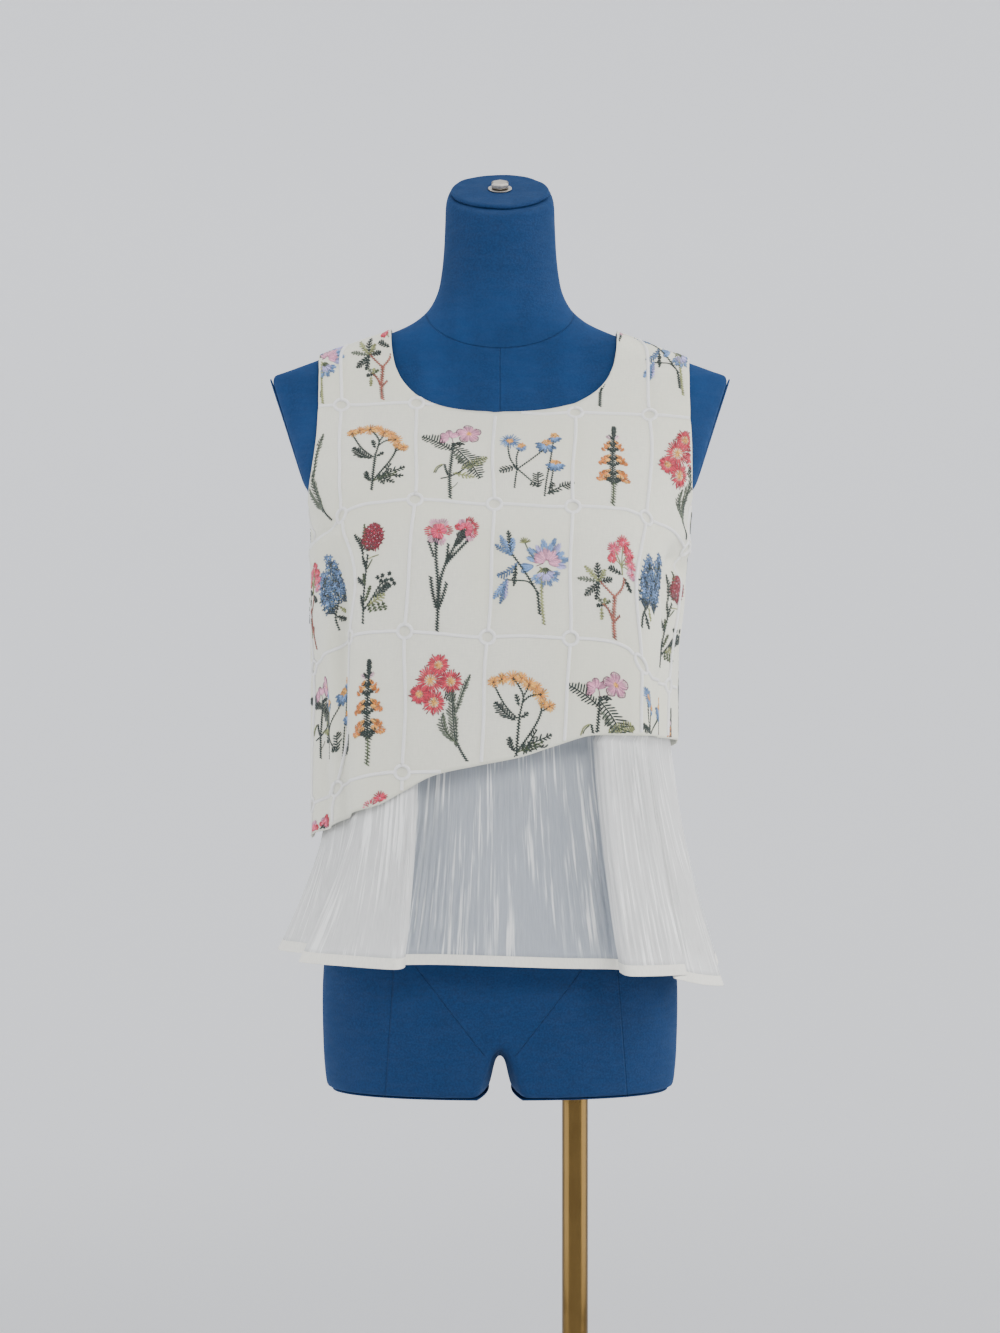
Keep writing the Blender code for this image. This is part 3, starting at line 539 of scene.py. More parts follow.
def moved_left(x, z, follow):
    """Moves points of the yoke towards the wearer's left, along the shoulder line by a part follow."""
    moved = x + SHOULDER_SHIFT * ease((z - YOKE_Z) / SHIFT_HEIGHT)
    return moved, z + (ridge_z(moved) - ridge_z(x)) * follow


def hem_height(panel, share):
    return smooth([p.share for p in panel.hem], [p.z for p in panel.hem], share)


def panel_uz(panel, share, lower_rows, middle_rows, strap_rows):
    """(u, z) of a panel's grid, in rows from the hem upwards, NaN in the neck opening."""
    facing = panel.facing
    hem_z = hem_height(panel, share)
    u_rows, z_rows = [], []
    for t in np.linspace(0, 1, lower_rows + 1):
        z = hem_z + (YOKE_Z - hem_z) * t
        u_rows.append(share * half_round(z, facing))
        z_rows.append(z)
    edge = (float(armhole_x(panel, ARMHOLE_MIDDLE_Z)), ARMHOLE_MIDDLE_Z)
    yoke_length = u_rows[-1]
    top_x, top_z = top_of_middle(share, panel.neck_drop, edge)
    top_length = length_at(HANGING, top_x, top_z, facing)
    paths = []
    for t in np.linspace(0, 1, middle_rows + 1)[1:]:
        rise = t + (t**1.5 - t) * share**4
        z = YOKE_Z + (top_z - YOKE_Z) * rise
        length = yoke_length + (top_length - yoke_length) * rise
        shift = length_at(HANGING, armhole_x(panel, z[-1:]), z[-1:], facing) - length[-1]
        x, _ = point_round(HANGING, z, length + shift * share * np.abs(share), facing)
        paths.append(moved_left(x, z, 0.0))
    for t in np.linspace(0, 1, strap_rows + 1)[1:]:
        climb = 1 - (1 - t) ** 1.6
        paths.append(moved_left(*strap_row(panel, share, climb), climb))
    for x, z in paths:
        u = np.full(x.shape, np.nan)
        made = ~np.isnan(x)
        u[made] = length_at(HANGING, x[made], z[made], facing)
        u_rows.append(u)
        z_rows.append(z)
    return np.array(u_rows), np.array(z_rows)


def panel_outline(u, z, strap_rows):
    """The closed edge of a panel in (u, z): hem, sides, armholes, shoulders and neckline."""
    columns = u.shape[1]
    middle = u.shape[0] - strap_rows - 1
    inner = np.flatnonzero(~np.isnan(u[-1]))
    right = inner[inner > columns // 2][0]
    left = inner[inner < columns // 2][-1]
    pieces = (
        (0, slice(None)),
        (slice(1, None), columns - 1),
        (-1, slice(columns - 2, right - 1, -1)),
        (slice(-2, middle - 1, -1), right),
        (middle, slice(right - 1, left, -1)),
        (slice(middle, None), left),
        (-1, slice(left - 1, None, -1)),
        (slice(-2, 0, -1), 0),
    )
    return np.array([np.concatenate([part[p] for p in pieces]) for part in (u, z)])


def inside(outline, u, z):
    """Whether each (u, z) lies inside a closed outline."""
    u, z = np.atleast_1d(u)[:, None], np.atleast_1d(z)[:, None]
    u0, z0 = outline
    u1, z1 = np.roll(u0, -1), np.roll(z0, -1)
    crosses = (z0 > z) != (z1 > z)
    rise = np.where(z1 == z0, 1, z1 - z0)
    at = u0 + (z - z0) / rise * (u1 - u0)
    return (crosses & (u < at)).sum(axis=1) % 2 == 1


def mesh_of(name, points, edges=(), faces=()):
    mesh = bpy.data.meshes.new(name)
    mesh.from_pydata(points, edges, faces)
    return mesh


def face_outwards(mesh):
    """Turns every face of a closed mesh outwards."""
    work = bmesh.new()
    work.from_mesh(mesh)
    bmesh.ops.recalc_face_normals(work, faces=work.faces)
    work.to_mesh(mesh)
    work.free()
    return mesh


def grid_mesh(name, grid, flip, uv=None):
    """An open sheet from an array of points, 3 x rows x columns, in millimetres; NaN makes a hole."""
    rows, columns = grid.shape[1:]
    made = ~np.isnan(grid[0]).reshape(-1)
    points = (grid.reshape(3, -1).T[made] * MM).tolist()
    corner = np.where(made, np.cumsum(made) - 1, -1).reshape(rows, columns)
    quads = np.stack([corner[:-1, :-1], corner[:-1, 1:], corner[1:, 1:], corner[1:, :-1]], -1)
    quads = quads.reshape(-1, 4)
    quads = quads[quads.min(axis=1) >= 0]
    if flip:
        quads = quads[:, ::-1]
    mesh = mesh_of(name, points, faces=quads.tolist())
    if uv is not None:
        layer = mesh.uv_layers.new(name="cloth")
        flat = uv.reshape(2, -1).T[made] * MM
        layer.data.foreach_set("uv", flat[quads.reshape(-1)].astype(np.float32).reshape(-1))
    mesh.shade_smooth()
    return mesh


def add_piece(name, mesh, *finishes):
    for finish in finishes:
        mesh.materials.append(finish)
    obj = bpy.data.objects.new(name, mesh)
    bpy.context.scene.collection.objects.link(obj)
    return obj


def add_wall(obj, thickness):
    wall = obj.modifiers.new("wall", "SOLIDIFY")
    wall.thickness = thickness
    wall.offset = -1
    wall.use_even_offset = False


def add_bevel(obj, width, segments, degrees):
    edge = obj.modifiers.new("edge", "BEVEL")
    edge.width = width
    edge.segments = segments
    edge.limit_method = "ANGLE"
    edge.angle_limit = math.radians(degrees)


def made_plain(obj):
    """Turns an object and its modifiers into a plain mesh."""
    depsgraph = bpy.context.evaluated_depsgraph_get()
    seen = obj.evaluated_get(depsgraph)
    mesh = bpy.data.meshes.new_from_object(seen, preserve_all_data_layers=True, depsgraph=depsgraph)
    old = obj.data
    obj.modifiers.clear()
    obj.data = mesh
    bpy.data.meshes.remove(old)
    mesh.name = obj.name
    return obj


class Value:
    """A number that varies over a surface; arithmetic on it adds Math nodes to its finish."""

    def __init__(self, finish, socket):
        self.finish, self.socket = finish, socket

    def math(self, operation, *others, first=None):
        operands = [first, self, *others] if first is not None else [self, *others]
        made = self.finish.node("ShaderNodeMath", {"operation": operation}, dict(enumerate(operands)))
        return Value(self.finish, made.outputs[0])

    def __add__(self, other):
        return self.math("ADD", other)

    def __sub__(self, other):
        return self.math("SUBTRACT", other)

    def __mul__(self, other):
        return self.math("MULTIPLY", other)

    def __pow__(self, other):
        return self.math("POWER", other)

    def __radd__(self, other):
        return self.math("ADD", first=other)

    def __rsub__(self, other):
        return self.math("SUBTRACT", first=other)

    def sin(self):
        return self.math("SINE")

    def abs(self):
        return self.math("ABSOLUTE")

    def over(self, limit):
        return self.math("GREATER_THAN", limit)

    def under(self, limit):
        return self.math("LESS_THAN", limit)

    def least(self, other):
        return self.math("MINIMUM", other)

    def ramp(self, low, high, start=0.0, end=1.0):
        """start below low, end above high, and a soft climb between."""
        sockets = {"Value": self, "From Min": low, "From Max": high, "To Min": start, "To Max": end}
        settings = {"interpolation_type": "SMOOTHSTEP"}
        made = self.finish.node("ShaderNodeMapRange", settings, sockets)
        return Value(self.finish, made.outputs["Result"])


class Nodes:
    """A node tree in the making, with one method that adds any node."""

    def node(self, kind, settings=None, sockets=None):
        """Adds a node: its settings are set first, then the values or links of its sockets."""
        made = self.tree.nodes.new(kind)
        for key, value in (settings or {}).items():
            setattr(made, key, value)
        for key, value in (sockets or {}).items():
            if isinstance(value, Value):
                value = value.socket
            if isinstance(value, bpy.types.NodeSocket):
                self.tree.links.new(value, made.inputs[key])
            else:
                made.inputs[key].default_value = value
        return made


class Making(Nodes):
    """A Geometry Nodes tree that ends in real mesh with a material. Its inputs are (name, kind, default)."""

    def __init__(self, name, *inputs):
        self.tree = bpy.data.node_groups.new(name, "GeometryNodeTree")
        interface = self.tree.interface
        interface.new_socket("Geometry", in_out="INPUT", socket_type="NodeSocketGeometry")
        interface.new_socket("Geometry", in_out="OUTPUT", socket_type="NodeSocketGeometry")
        self.identifiers = {}
        for label, kind, default in inputs:
            socket = interface.new_socket(label, in_out="INPUT", socket_type="NodeSocket" + kind)
            if default is not None:
                socket.default_value = default
            self.identifiers[label] = socket.identifier
        self.inputs = self.node("NodeGroupInput").outputs

    def named(self, name, kind):
        made = self.node("GeometryNodeInputNamedAttribute", {"data_type": kind}, {"Name": name})
        return made.outputs["Attribute"]

    def end(self, geometry, finish):
        smoothed = self.node("GeometryNodeSetShadeSmooth", None, {"Geometry": geometry}).outputs[0]
        real = self.node("GeometryNodeRealizeInstances", None, {"Geometry": smoothed}).outputs[0]
        sockets = {"Geometry": real, "Material": finish}
        last = self.node("GeometryNodeSetMaterial", None, sockets).outputs[0]
        self.node("NodeGroupOutput", None, {"Geometry": last})

    def apply(self, obj, **values):
        """Sets the inputs by identifier, then turns the object into a plain mesh."""
        step = obj.modifiers.new(self.tree.name, "NODES")
        step.node_group = self.tree
        for label, value in values.items():
            step[self.identifiers[label]] = value
        return made_plain(obj)


class Finish(Nodes):
    """A material in the making, with a few short forms."""

    def __init__(self, name, **constants):
        self.material = bpy.data.materials.new(name)
        self.material.use_nodes = True
        self.tree = self.material.node_tree
        self.shader = self.tree.nodes["Principled BSDF"]
        for socket, value in constants.items():
            self.shader.inputs[socket.replace("_", " ")].default_value = value

    def position(self, scale=(1, 1, 1), turn=(0, 0, 0), uv=None):
        """Object coordinates or a UV map, turned and scaled."""
        if uv:
            source = self.node("ShaderNodeUVMap", {"uv_map": uv}).outputs["UV"]
        else:
            source = self.node("ShaderNodeTexCoord").outputs["Object"]
        sockets = {"Vector": source, "Scale": scale, "Rotation": turn}
        return self.node("ShaderNodeMapping", None, sockets).outputs["Vector"]

    def axes(self, vector):
        made = self.node("ShaderNodeSeparateXYZ", None, {"Vector": vector})
        return [Value(self, made.outputs[axis]) for axis in "XYZ"]

    def noise(self, vector, size, detail=2.0, roughness=0.5):
        """A noise from 0 to 1 whose lumps are about size across, in metres."""
        sockets = {"Vector": vector, "Scale": 1 / size, "Detail": detail, "Roughness": roughness}
        return Value(self, self.node("ShaderNodeTexNoise", None, sockets).outputs["Fac"])

    def attribute(self, name, output="Fac"):
        made = self.node("ShaderNodeAttribute", {"attribute_name": name})
        return Value(self, made.outputs[output])

    def mix(self, factor, first, second):
        """The colour first where factor is 0, and second where it is 1."""
        linked = (Value, bpy.types.NodeSocket)
        colours = [c if isinstance(c, linked) else (*c, 1) for c in (first, second)]
        sockets = {0: factor, 6: colours[0], 7: colours[1]}
        return self.node("ShaderNodeMix", {"data_type": "RGBA"}, sockets).outputs[2]

    def set(self, socket, value):
        if isinstance(value, Value):
            value = value.socket
        self.tree.links.new(value, self.shader.inputs[socket])

    def bump(self, height, distance, strength=1.0):
        sockets = {"Height": height, "Distance": distance, "Strength": strength}
        self.set("Normal", self.node("ShaderNodeBump", None, sockets).outputs["Normal"])
        return self.material


def shade(colour, factor):
    return tuple(min(1.0, c * factor) for c in colour)


# Distances between threads, in metres.
WEAVE_PITCH = (0.00062, 0.00058)
WRAP_PITCH = 0.0009


def bodice_cloth(colour):
    """Matt cream plain weave with slubs; its pattern follows the cloth's own UV, in metres."""
    finish = Finish("bodice_cloth", Roughness=0.86, Sheen_Weight=0.25, Sheen_Roughness=0.6)
    cloth = finish.position(uv="cloth")
    u, v, _ = finish.axes(cloth)
    weave = (u * (math.tau / WEAVE_PITCH[0])).sin() * (v * (math.tau / WEAVE_PITCH[1])).sin()
    across = finish.noise(finish.position(scale=(0.16, 1, 1), uv="cloth"), 0.0011, 2)
    upright = finish.noise(finish.position(scale=(1, 0.12, 1), uv="cloth"), 0.0011, 2)
    crepe = finish.noise(cloth, 0.0045, 3, 0.6)
    broad = finish.noise(finish.position(), 0.09, 2)
    tone = (across + upright) * 0.5
    fine = finish.mix(tone.ramp(0.35, 0.65), shade(colour, 0.95), shade(colour, 1.03))
    warm = (colour[0] * 0.99, colour[1] * 0.985, colour[2] * 0.92)
    finish.set("Base Color", finish.mix(broad.ramp(0.35, 0.7, 0.0, 0.6), fine, warm))
    finish.set("Roughness", tone.ramp(0.3, 0.7, 0.8, 0.92))
    height = weave * 0.25 + across * 0.5 + upright * 0.5 + crepe * 1.1
    return finish.bump(height, 0.00022, 0.8)


def cord_thread(colour):
    """White satin stitch wrapped round a cord; along is the length of cord, in metres."""
    finish = Finish("cord_thread", Roughness=0.5, Sheen_Weight=0.3)
    along = finish.attribute("along")
    wraps = (along * (math.tau / WRAP_PITCH)).sin()
    uneven = finish.noise(finish.position(), 0.003, 2)
    finish.set("Base Color", finish.mix(wraps.ramp(-1, 0.6, 0.0, 1.0), shade(colour, 0.86), colour))
    finish.set("Roughness", uneven.ramp(0.3, 0.7, 0.42, 0.58))
    return finish.bump(wraps + uneven, 0.0002, 0.7)


def sprig_thread():
    """Coloured embroidery thread; each stitch carries its own colour."""
    finish = Finish("sprig_thread", Roughness=0.42, Sheen_Weight=0.2)
    colour = finish.attribute("thread", "Color").socket
    strand = finish.noise(finish.position(), 0.0011, 2)
    dark = finish.node("ShaderNodeHueSaturation", None, {"Color": colour, "Value": 0.8}).outputs["Color"]
    finish.set("Base Color", finish.mix(strand.ramp(0.35, 0.6), dark, colour))
    finish.set("Roughness", strand.ramp(0.3, 0.7, 0.36, 0.5))
    return finish.bump(strand, 0.0002, 0.5)


def add_bodice(panel, wall, finish):
    u, z = panel_uz(panel, panel_shares(*BODICE_COLUMNS), *BODICE_ROWS)
    grid = np.full((3, *u.shape), np.nan)
    made = ~np.isnan(u)
    points, _ = on_cloth(panel, u[made], z[made])
    grid[:, made] = points
    grid[1, -1] += panel.facing * SHOULDER_GAP / 2
    v = climb_of(panel.facing, np.nan_to_num(u), np.nan_to_num(z, nan=1300.0))
    name = f"{panel.name}_bodice_cloth"
    obj = add_piece(name, grid_mesh(name, grid, panel.facing > 0, np.stack([u, v])), finish)
    add_wall(obj, wall)
    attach(obj, "root")
    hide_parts(f"{panel.name}_bodice")
    return obj


def edge_of(panel):
    """The panel's closed edge in (u, z)."""
    u, z = panel_uz(panel, panel_shares(*BODICE_COLUMNS), *EDGE_ROWS)
    return panel_outline(u, z, EDGE_ROWS[2])


def line_paths(panel, outline):
    """Paths in (u, z) of the corded grid: upright and level lines, broken at the rings, and the rings."""
    facing = panel.facing
    paths = []

    def cut_to_cloth(u, v, rings):
        z = height_of(facing, u, v)
        keep = inside(outline, u, z - EDGE_MARGIN) & inside(outline, u, z + EDGE_MARGIN)
        for ring_u, ring_v in rings:
            keep &= np.hypot(u - ring_u, v - ring_v) > RING_RADIUS + RING_CLEARANCE
        for run in np.split(np.arange(len(u)), np.flatnonzero(np.diff(keep.astype(int))) + 1):
            if keep[run[0]] and len(run) > 4:
                paths.append((u[run], z[run], False))

    rings = []
    for column in GRID_COLUMNS:
        for level in GRID_LEVELS:
            v = float(ROW_HEIGHT * level)
            for _ in range(SETTLING_ROUNDS):
                u = float(line_u(column, v))
                v = float(level_v(level, u))
            rings.append((u, v))
    for column in GRID_COLUMNS:
        v = np.arange(*CORD_SPAN_V, CORD_STEP)
        cut_to_cloth(line_u(column, v), v, rings)
    for level in GRID_LEVELS:
        u = np.arange(*CORD_SPAN_U, CORD_STEP)
        cut_to_cloth(u, level_v(level, u), rings)
    turn = np.linspace(0, math.tau, RING_SIDES, endpoint=False)
    for ring_u, ring_v in rings:
        u = ring_u + RING_RADIUS * np.sin(turn) * RING_WIDTH
        v = ring_v + RING_RADIUS * np.cos(turn)
        z = height_of(facing, u, v)
        if inside(outline, u, z).all():
            paths.append((u, z, True))
    return paths


def add_cords(panel, outline, radius, finish):
    """The corded grid of one panel: Geometry Nodes sweep a round thread along each path."""
    points, edges = [], []
    for u, z, closed in line_paths(panel, outline):
        start = len(points)
        on, _ = on_cloth(panel, u, z, LIFT + CORD_LIFT)
        points.extend((on.T * MM).tolist())
        count = len(u)
        edges.extend((start + k, start + (k + 1) % count) for k in range(count if closed else count - 1))
    obj = add_piece(f"{panel.name}_grid_cords", mesh_of("grid_paths", points, edges))
    making = Making("corded_grid", ("Radius", "Float", radius), ("Sides", "Int", CORD_SIDES))
    curves = making.node("GeometryNodeMeshToCurve", None, {"Mesh": making.inputs["Geometry"]}).outputs[0]
    along = making.node("GeometryNodeSplineParameter").outputs["Length"]
    sockets = {"Geometry": curves, "Name": "along", "Value": along}
    stored = making.node("GeometryNodeStoreNamedAttribute", {"data_type": "FLOAT"}, sockets).outputs[0]
    sockets = {"Resolution": making.inputs["Sides"], "Radius": making.inputs["Radius"]}
    profile = making.node("GeometryNodeCurvePrimitiveCircle", {"mode": "RADIUS"}, sockets).outputs["Curve"]
    sockets = {"Curve": stored, "Profile Curve": profile, "Fill Caps": True}
    making.end(making.node("GeometryNodeCurveToMesh", None, sockets).outputs[0], finish)
    making.apply(obj, Radius=radius, Sides=CORD_SIDES)
    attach(obj, "root")
    return obj


def polar(centre, degrees, reach):
    turn = math.radians(degrees)
    return centre[0] + reach * math.cos(turn), centre[1] + reach * math.sin(turn)


def paced(path, gap):
    """Points about gap apart along a path with its corners rounded, and the direction at each."""
    points = np.array(path, float)
    for _ in range(3):
        if len(points) > 2:
            near, far = points[:-1], points[1:]
            quarters = np.stack([near * 0.75 + far * 0.25, near * 0.25 + far * 0.75], axis=1)
            points = np.vstack([points[:1], quarters.reshape(-1, 2)[1:-1], points[-1:]])
    along = run_lengths(*points.T)
    at = np.linspace(0, along[-1], max(2, round(along[-1] / gap) + 1))
    x, y = (np.interp(at, along, points[:, k]) for k in (0, 1))
    way = np.stack([np.gradient(x), np.gradient(y)])
    return np.stack([x, y]).T, (way / np.hypot(*way)).T


# Widths of stitches are in threads of THREAD millimetres, and gaps between them in GAPs.
THREAD = 1.3
GAP = 1.95


class Needle:
    """Sews one sprig: its stitches are (x0, y0, x1, y1, width, thread), in millimetres from its middle."""

    def __init__(self, seed):
        self.stitches = []
        self.luck = random.Random(seed)

    def put(self, start, end, thread, width=0.9):
        self.stitches.append((*start, *end, width * THREAD, thread))

    def line(self, path, thread, width=0.9, step=2.6):
        """Back stitches along a path, each a little over the last."""
        points, ways = paced(path, step)
        for a, b, way in zip(points, points[1:], ways):
            self.put(a - way * 0.35, b + way * 0.35, thread, width)

    def stem(self, path, thread, width=2.0, gap=1.15, taper=0.0):
        """Slanting stitches across a path, over a thin core, which make a ribbed stem."""
        self.line(path, thread, min(1.0, width * 0.5), 4.0)
        points, ways = paced(path, gap * GAP)
        for k, (point, way) in enumerate(zip(points, ways)):
            half = width * 0.62 * (1 - taper * k / len(points))
            slant = np.array([-way[1], way[0]]) * half + way * half * 0.7
            self.put(point - slant, point + slant, thread, 1.05)

    def leaf(self, base, tip, thread, width, gap=1.15, bow=0.0, slant=0.9, vein=None, share=1.0):
        """Side stitches slanting out of a middle vein; bow bends the vein sideways."""
        base, tip = np.array(base, float), np.array(tip, float)
        way = tip - base
        length = math.hypot(*way)
        way /= length
        side = np.array([-way[1], way[0]])
        count = max(3, round(length / (gap * GAP)))
        for k in range(count):
            t = (k + 0.5) / count
            foot = base + way * length * t + side * bow * math.sin(math.pi * t)
            half = width / 2 * math.sin(math.pi * min(1, t * 0.93 + 0.05)) ** 0.7
            for turn in (-1, 1):
                if self.luck.random() > share:
                    continue
                reach = half * self.luck.uniform(0.72, 1.2)
                end = foot + side * turn * reach + way * slant * reach
                self.put(foot, end, thread, 1.15)
        middle = base + way * length * 0.5 + side * bow
        self.line([base, middle, tip], vein or thread, 0.95, 3.0)

    def fan(self, centre, near, far, count, thread, turn=0.0, sweep=360.0, width=0.85, squash=1.0):
        """Stitches that radiate from a centre, over the whole turn or a part of it."""
        count = max(4, round(count * 0.8))
        for k in range(count):
            degrees = turn + sweep * (k + self.luck.uniform(-0.2, 0.2)) / max(1, count - (sweep < 360))
            reach = far * self.luck.uniform(0.85, 1.08)
            start, end = polar((0, 0), degrees, near), polar((0, 0), degrees, reach)
            a = (centre[0] + start[0], centre[1] + start[1] * squash)
            b = (centre[0] + end[0], centre[1] + end[1] * squash)
            self.put(a, b, thread, width)

    def petal(self, base, degrees, length, spread, thread, edge=None, count=6, tip=None):
        """A rounded petal of satin stitches, with an outline and a second colour at its tip."""
        ends = []
        for k in range(count):
            part = k / (count - 1) * 2 - 1
            reach = length * (1 - 0.18 * part * part) * self.luck.uniform(0.95, 1.03)
            turn = degrees + part * spread / 2
            ends.append(polar(base, turn, reach))
            inner = polar(base, turn, length * 0.12)
            middle = polar(base, turn, reach * 0.62)
            self.put(inner, middle if tip else ends[-1], thread, 1.0)
            if tip:
                self.put(middle, ends[-1], tip, 1.0)
        if edge:
            first, last = (polar(base, degrees + half, length * 0.35) for half in (-spread / 2, spread / 2))
            self.line([first, *ends, last], edge, 0.6, 1.8)

    def seeds(self, centre, rx, ry, count, thread, size=1.5, width=0.9, degrees=None):
        """Short stitches strewn evenly over an oval, in any direction or one."""
        for k in range(count):
            reach = math.sqrt((k + 0.5) / count)
            turn = k * 137.5
            x, y = polar((0, 0), turn, reach)
            middle = (centre[0] + x * rx, centre[1] + y * ry)
            way = self.luck.uniform(0, 180) if degrees is None else degrees + self.luck.uniform(-18, 18)
            self.put(polar(middle, way, -size / 2), polar(middle, way, size / 2), thread, width)

    def daisy(self, centre, far, petals, heart, count=22, second=None, squash=1.0):
        self.fan(centre, far * 0.3, far, count, petals, squash=squash)
        if second:
            self.fan(centre, far * 0.25, far * 0.68, count - 6, second, turn=8, squash=squash)
        self.fan(centre, 0.3, far * 0.38, 9, heart, turn=11, width=0.9, squash=squash)


def umbel(sew):
    """Orange umbels on a branching dark stem with lobed leaves."""
    sew.leaf((-4, -1), (-21, 14), "pine", 9, 1.2, 1.5)
    sew.leaf((-1, 11), (-3.5, 20.5), "pine", 4.5)
    sew.leaf((1, 1), (6.5, 5.5), "pine", 4)
    sew.leaf((-5, -27), (-9, -15), "pine", 6, 1.1, 1)
    for tip, width in (((26, -13), 8), ((25, -24), 7), ((17, -32), 6), ((8, -33), 5), ((14, -9), 6)):
        sew.leaf((6 if tip[1] > -20 else 1, -22), tip, "pine", width, 1.5, share=0.8)
    sew.leaf((-3, -28), (19, -19), "moss", 7, 1.7, share=0.8)
    sew.stem([(-4, -37), (-3, -27), (-2, -12), (-0.5, 3)], "pine", 2.6, 1.25)
    sew.stem([(-3, 1), (-13, 11), (-20, 25), (-22.5, 30)], "pine", 1.5)
    sew.stem([(-0.5, 3), (2, 14), (3, 19), (0, 26), (-5, 33)], "pine", 1.6)
    sew.stem([(2, 14), (7, 19), (13, 20.5), (17, 20)], "pine", 1.5)
    sew.stem([(3, 19), (7, 27)], "pine", 1.2)
    sew.stem([(-3, -27.5), (5, -17), (13, -5), (17, 4), (18, 10)], "pine", 1.9)
    sew.stem([(17.5, 6), (24, 10)], "pine", 1.2)
    for x, y, reach in ((-22, 31, 5), (-15, 33.5, 5), (-6, 34, 6.5), (1, 34, 5), (7.5, 29, 6), (13, 26, 5)):
        sew.fan((x, y), 0.8, reach * 1.1, 19, "orange", turn=x * 9, width=1.0)
        sew.fan((x, y + 1), 0.6, reach * 0.62, 8, "amber", turn=20 + x * 9)
    for x, y, reach in ((17, 20, 6.2), (19, 13, 4), (24.5, 10.5, 5)):
        sew.fan((x, y), 0.8, reach * 1.1, 18, "orange", turn=x * 7, width=1.0)
        sew.fan((x, y), 0.6, reach * 0.6, 7, "amber", turn=25)
    for x, y in ((-22, 30), (-16, 32), (-6, 33), (7, 28), (16.5, 20), (18, 12)):
        sew.fan((x, y), 0.2, 1.9, 6, "pine", turn=15, width=1.0)


def blossom(sew):
    """Two pink blossoms over dark fern leaves and olive leaves."""
    sew.leaf((6, -9), (27.5, 5), "olive", 10, 1.2, -1, 0.5, "moss")
    sew.leaf((-1, -14), (17, -19), "olive", 7, 1.6, 0, 0.7)
    sew.line([(-10, -3.5), (-15, -6), (-17, -13)], "olive", 1.1)
    sew.line([(-10, -4.5), (-14, -8), (-15.5, -13)], "moss", 0.9)
    sew.leaf((-2, 12), (-27.5, 29), "pine", 12.5, 1.3, -1.5, 0.45)
    sew.leaf((-2, 18), (22, -20), "pine", 19, 1.35, 3.0, 0.35)
    sew.leaf((0, 8), (14, -12), "grey_green", 8, 1.6, 1.0, 0.5)
    sew.line([(-11, -20), (-4, -18), (5, -13), (14, -3)], "pine", 1.2)
    sew.stem([(-8, -4), (-7, -10), (-5, -16)], "pine", 2.0)
    sew.stem([(-3, -41), (-4, -18), (-3, -6), (-2, 6), (-1, 19)], "pine", 3.0, 1.25)
    sew.line([(-3, -32), (1, -29), (3, -25)], "moss", 0.6)
    sew.seeds((3, 19.5), 5, 2.2, 14, "pine", 2.4, 1.1, 10)
    for turn in (95, 150, 205, 40):
        sew.petal((-4, 26), turn, 9.5, 46, "pink", "plum", 6)
    for turn in (20, 92, 164, 236, 308):
        sew.petal((12, 31.5), turn, 11, 58, "pink", "plum", 7)
    sew.fan((12, 31.5), 0.3, 3.2, 12, "orange", width=1.0)
    sew.line([(-1, 20), (-2, 26), (-5, 33)], "plum", 0.6)


def blue_daisies(sew):
    """Blue daisies with orange hearts on thin crossing stems with ferny leaves."""
    for base, tip, width in (
        ((-17, -6), (-31.5, -12), 9),
        ((1, -31), (0.5, -13.5), 11),
        ((9, -36), (31, -24), 10),
        ((2, -30), (-6, -27), 6),
        ((8, -38), (18, -35), 5),
        ((9, -32), (14, -26), 6),
    ):
        sew.leaf(base, tip, "pine", width, 1.3, 0, 0.6, share=0.9)
    for path in (
        [(-19, -31), (-18, -18), (-16.5, -9), (-17.8, 3), (-15.5, 12)],
        [(-17, -9), (-23, 2), (-24.4, 16)],
        [(-16, -9), (-4, 2), (5.5, 12)],
        [(-16, -10), (-2, -27)],
        [(6, -40), (7.8, -21.5), (11, -1.5), (14, 22)],
        [(10.5, -32), (12, -22), (13.3, -12)],
    ):
        sew.stem(path, "pine", 1.4, 1.3)
    sew.daisy((-22.8, 23), 9.5, "blue", "orange", 26, "steel_blue", 0.9)
    sew.fan((-22.8, 23.5), 0.5, 3.6, 12, "orange", squash=0.7)
    sew.fan((-13, 15), 1.0, 4.8, 12, "blue", 180, 200)
    sew.seeds((-12.8, 17.5), 3.2, 2.8, 14, "orange", 2.0, 1.1)
    for foot, turns, length, spread, heart in (
        ((8, 17.5), (165, 195, 228, 262, 300, 335), 10, 22, ((8.5, 20.5), 4, 3.8, 18)),
        ((15, 26.5), (205, 240, 275, 310, 345), 6.5, 24, ((15, 28.6), 3.6, 3.2, 16)),
        ((15.5, -4), (190, 215, 240, 268, 295, 322, 348), 9, 20, ((15.5, -2), 4.6, 2.6, 16)),
    ):
        for turn in turns:
            sew.petal(foot, turn, length, spread, "blue", None, 4, "steel_blue")
        sew.seeds(*heart, "orange", 2.2, 1.1)


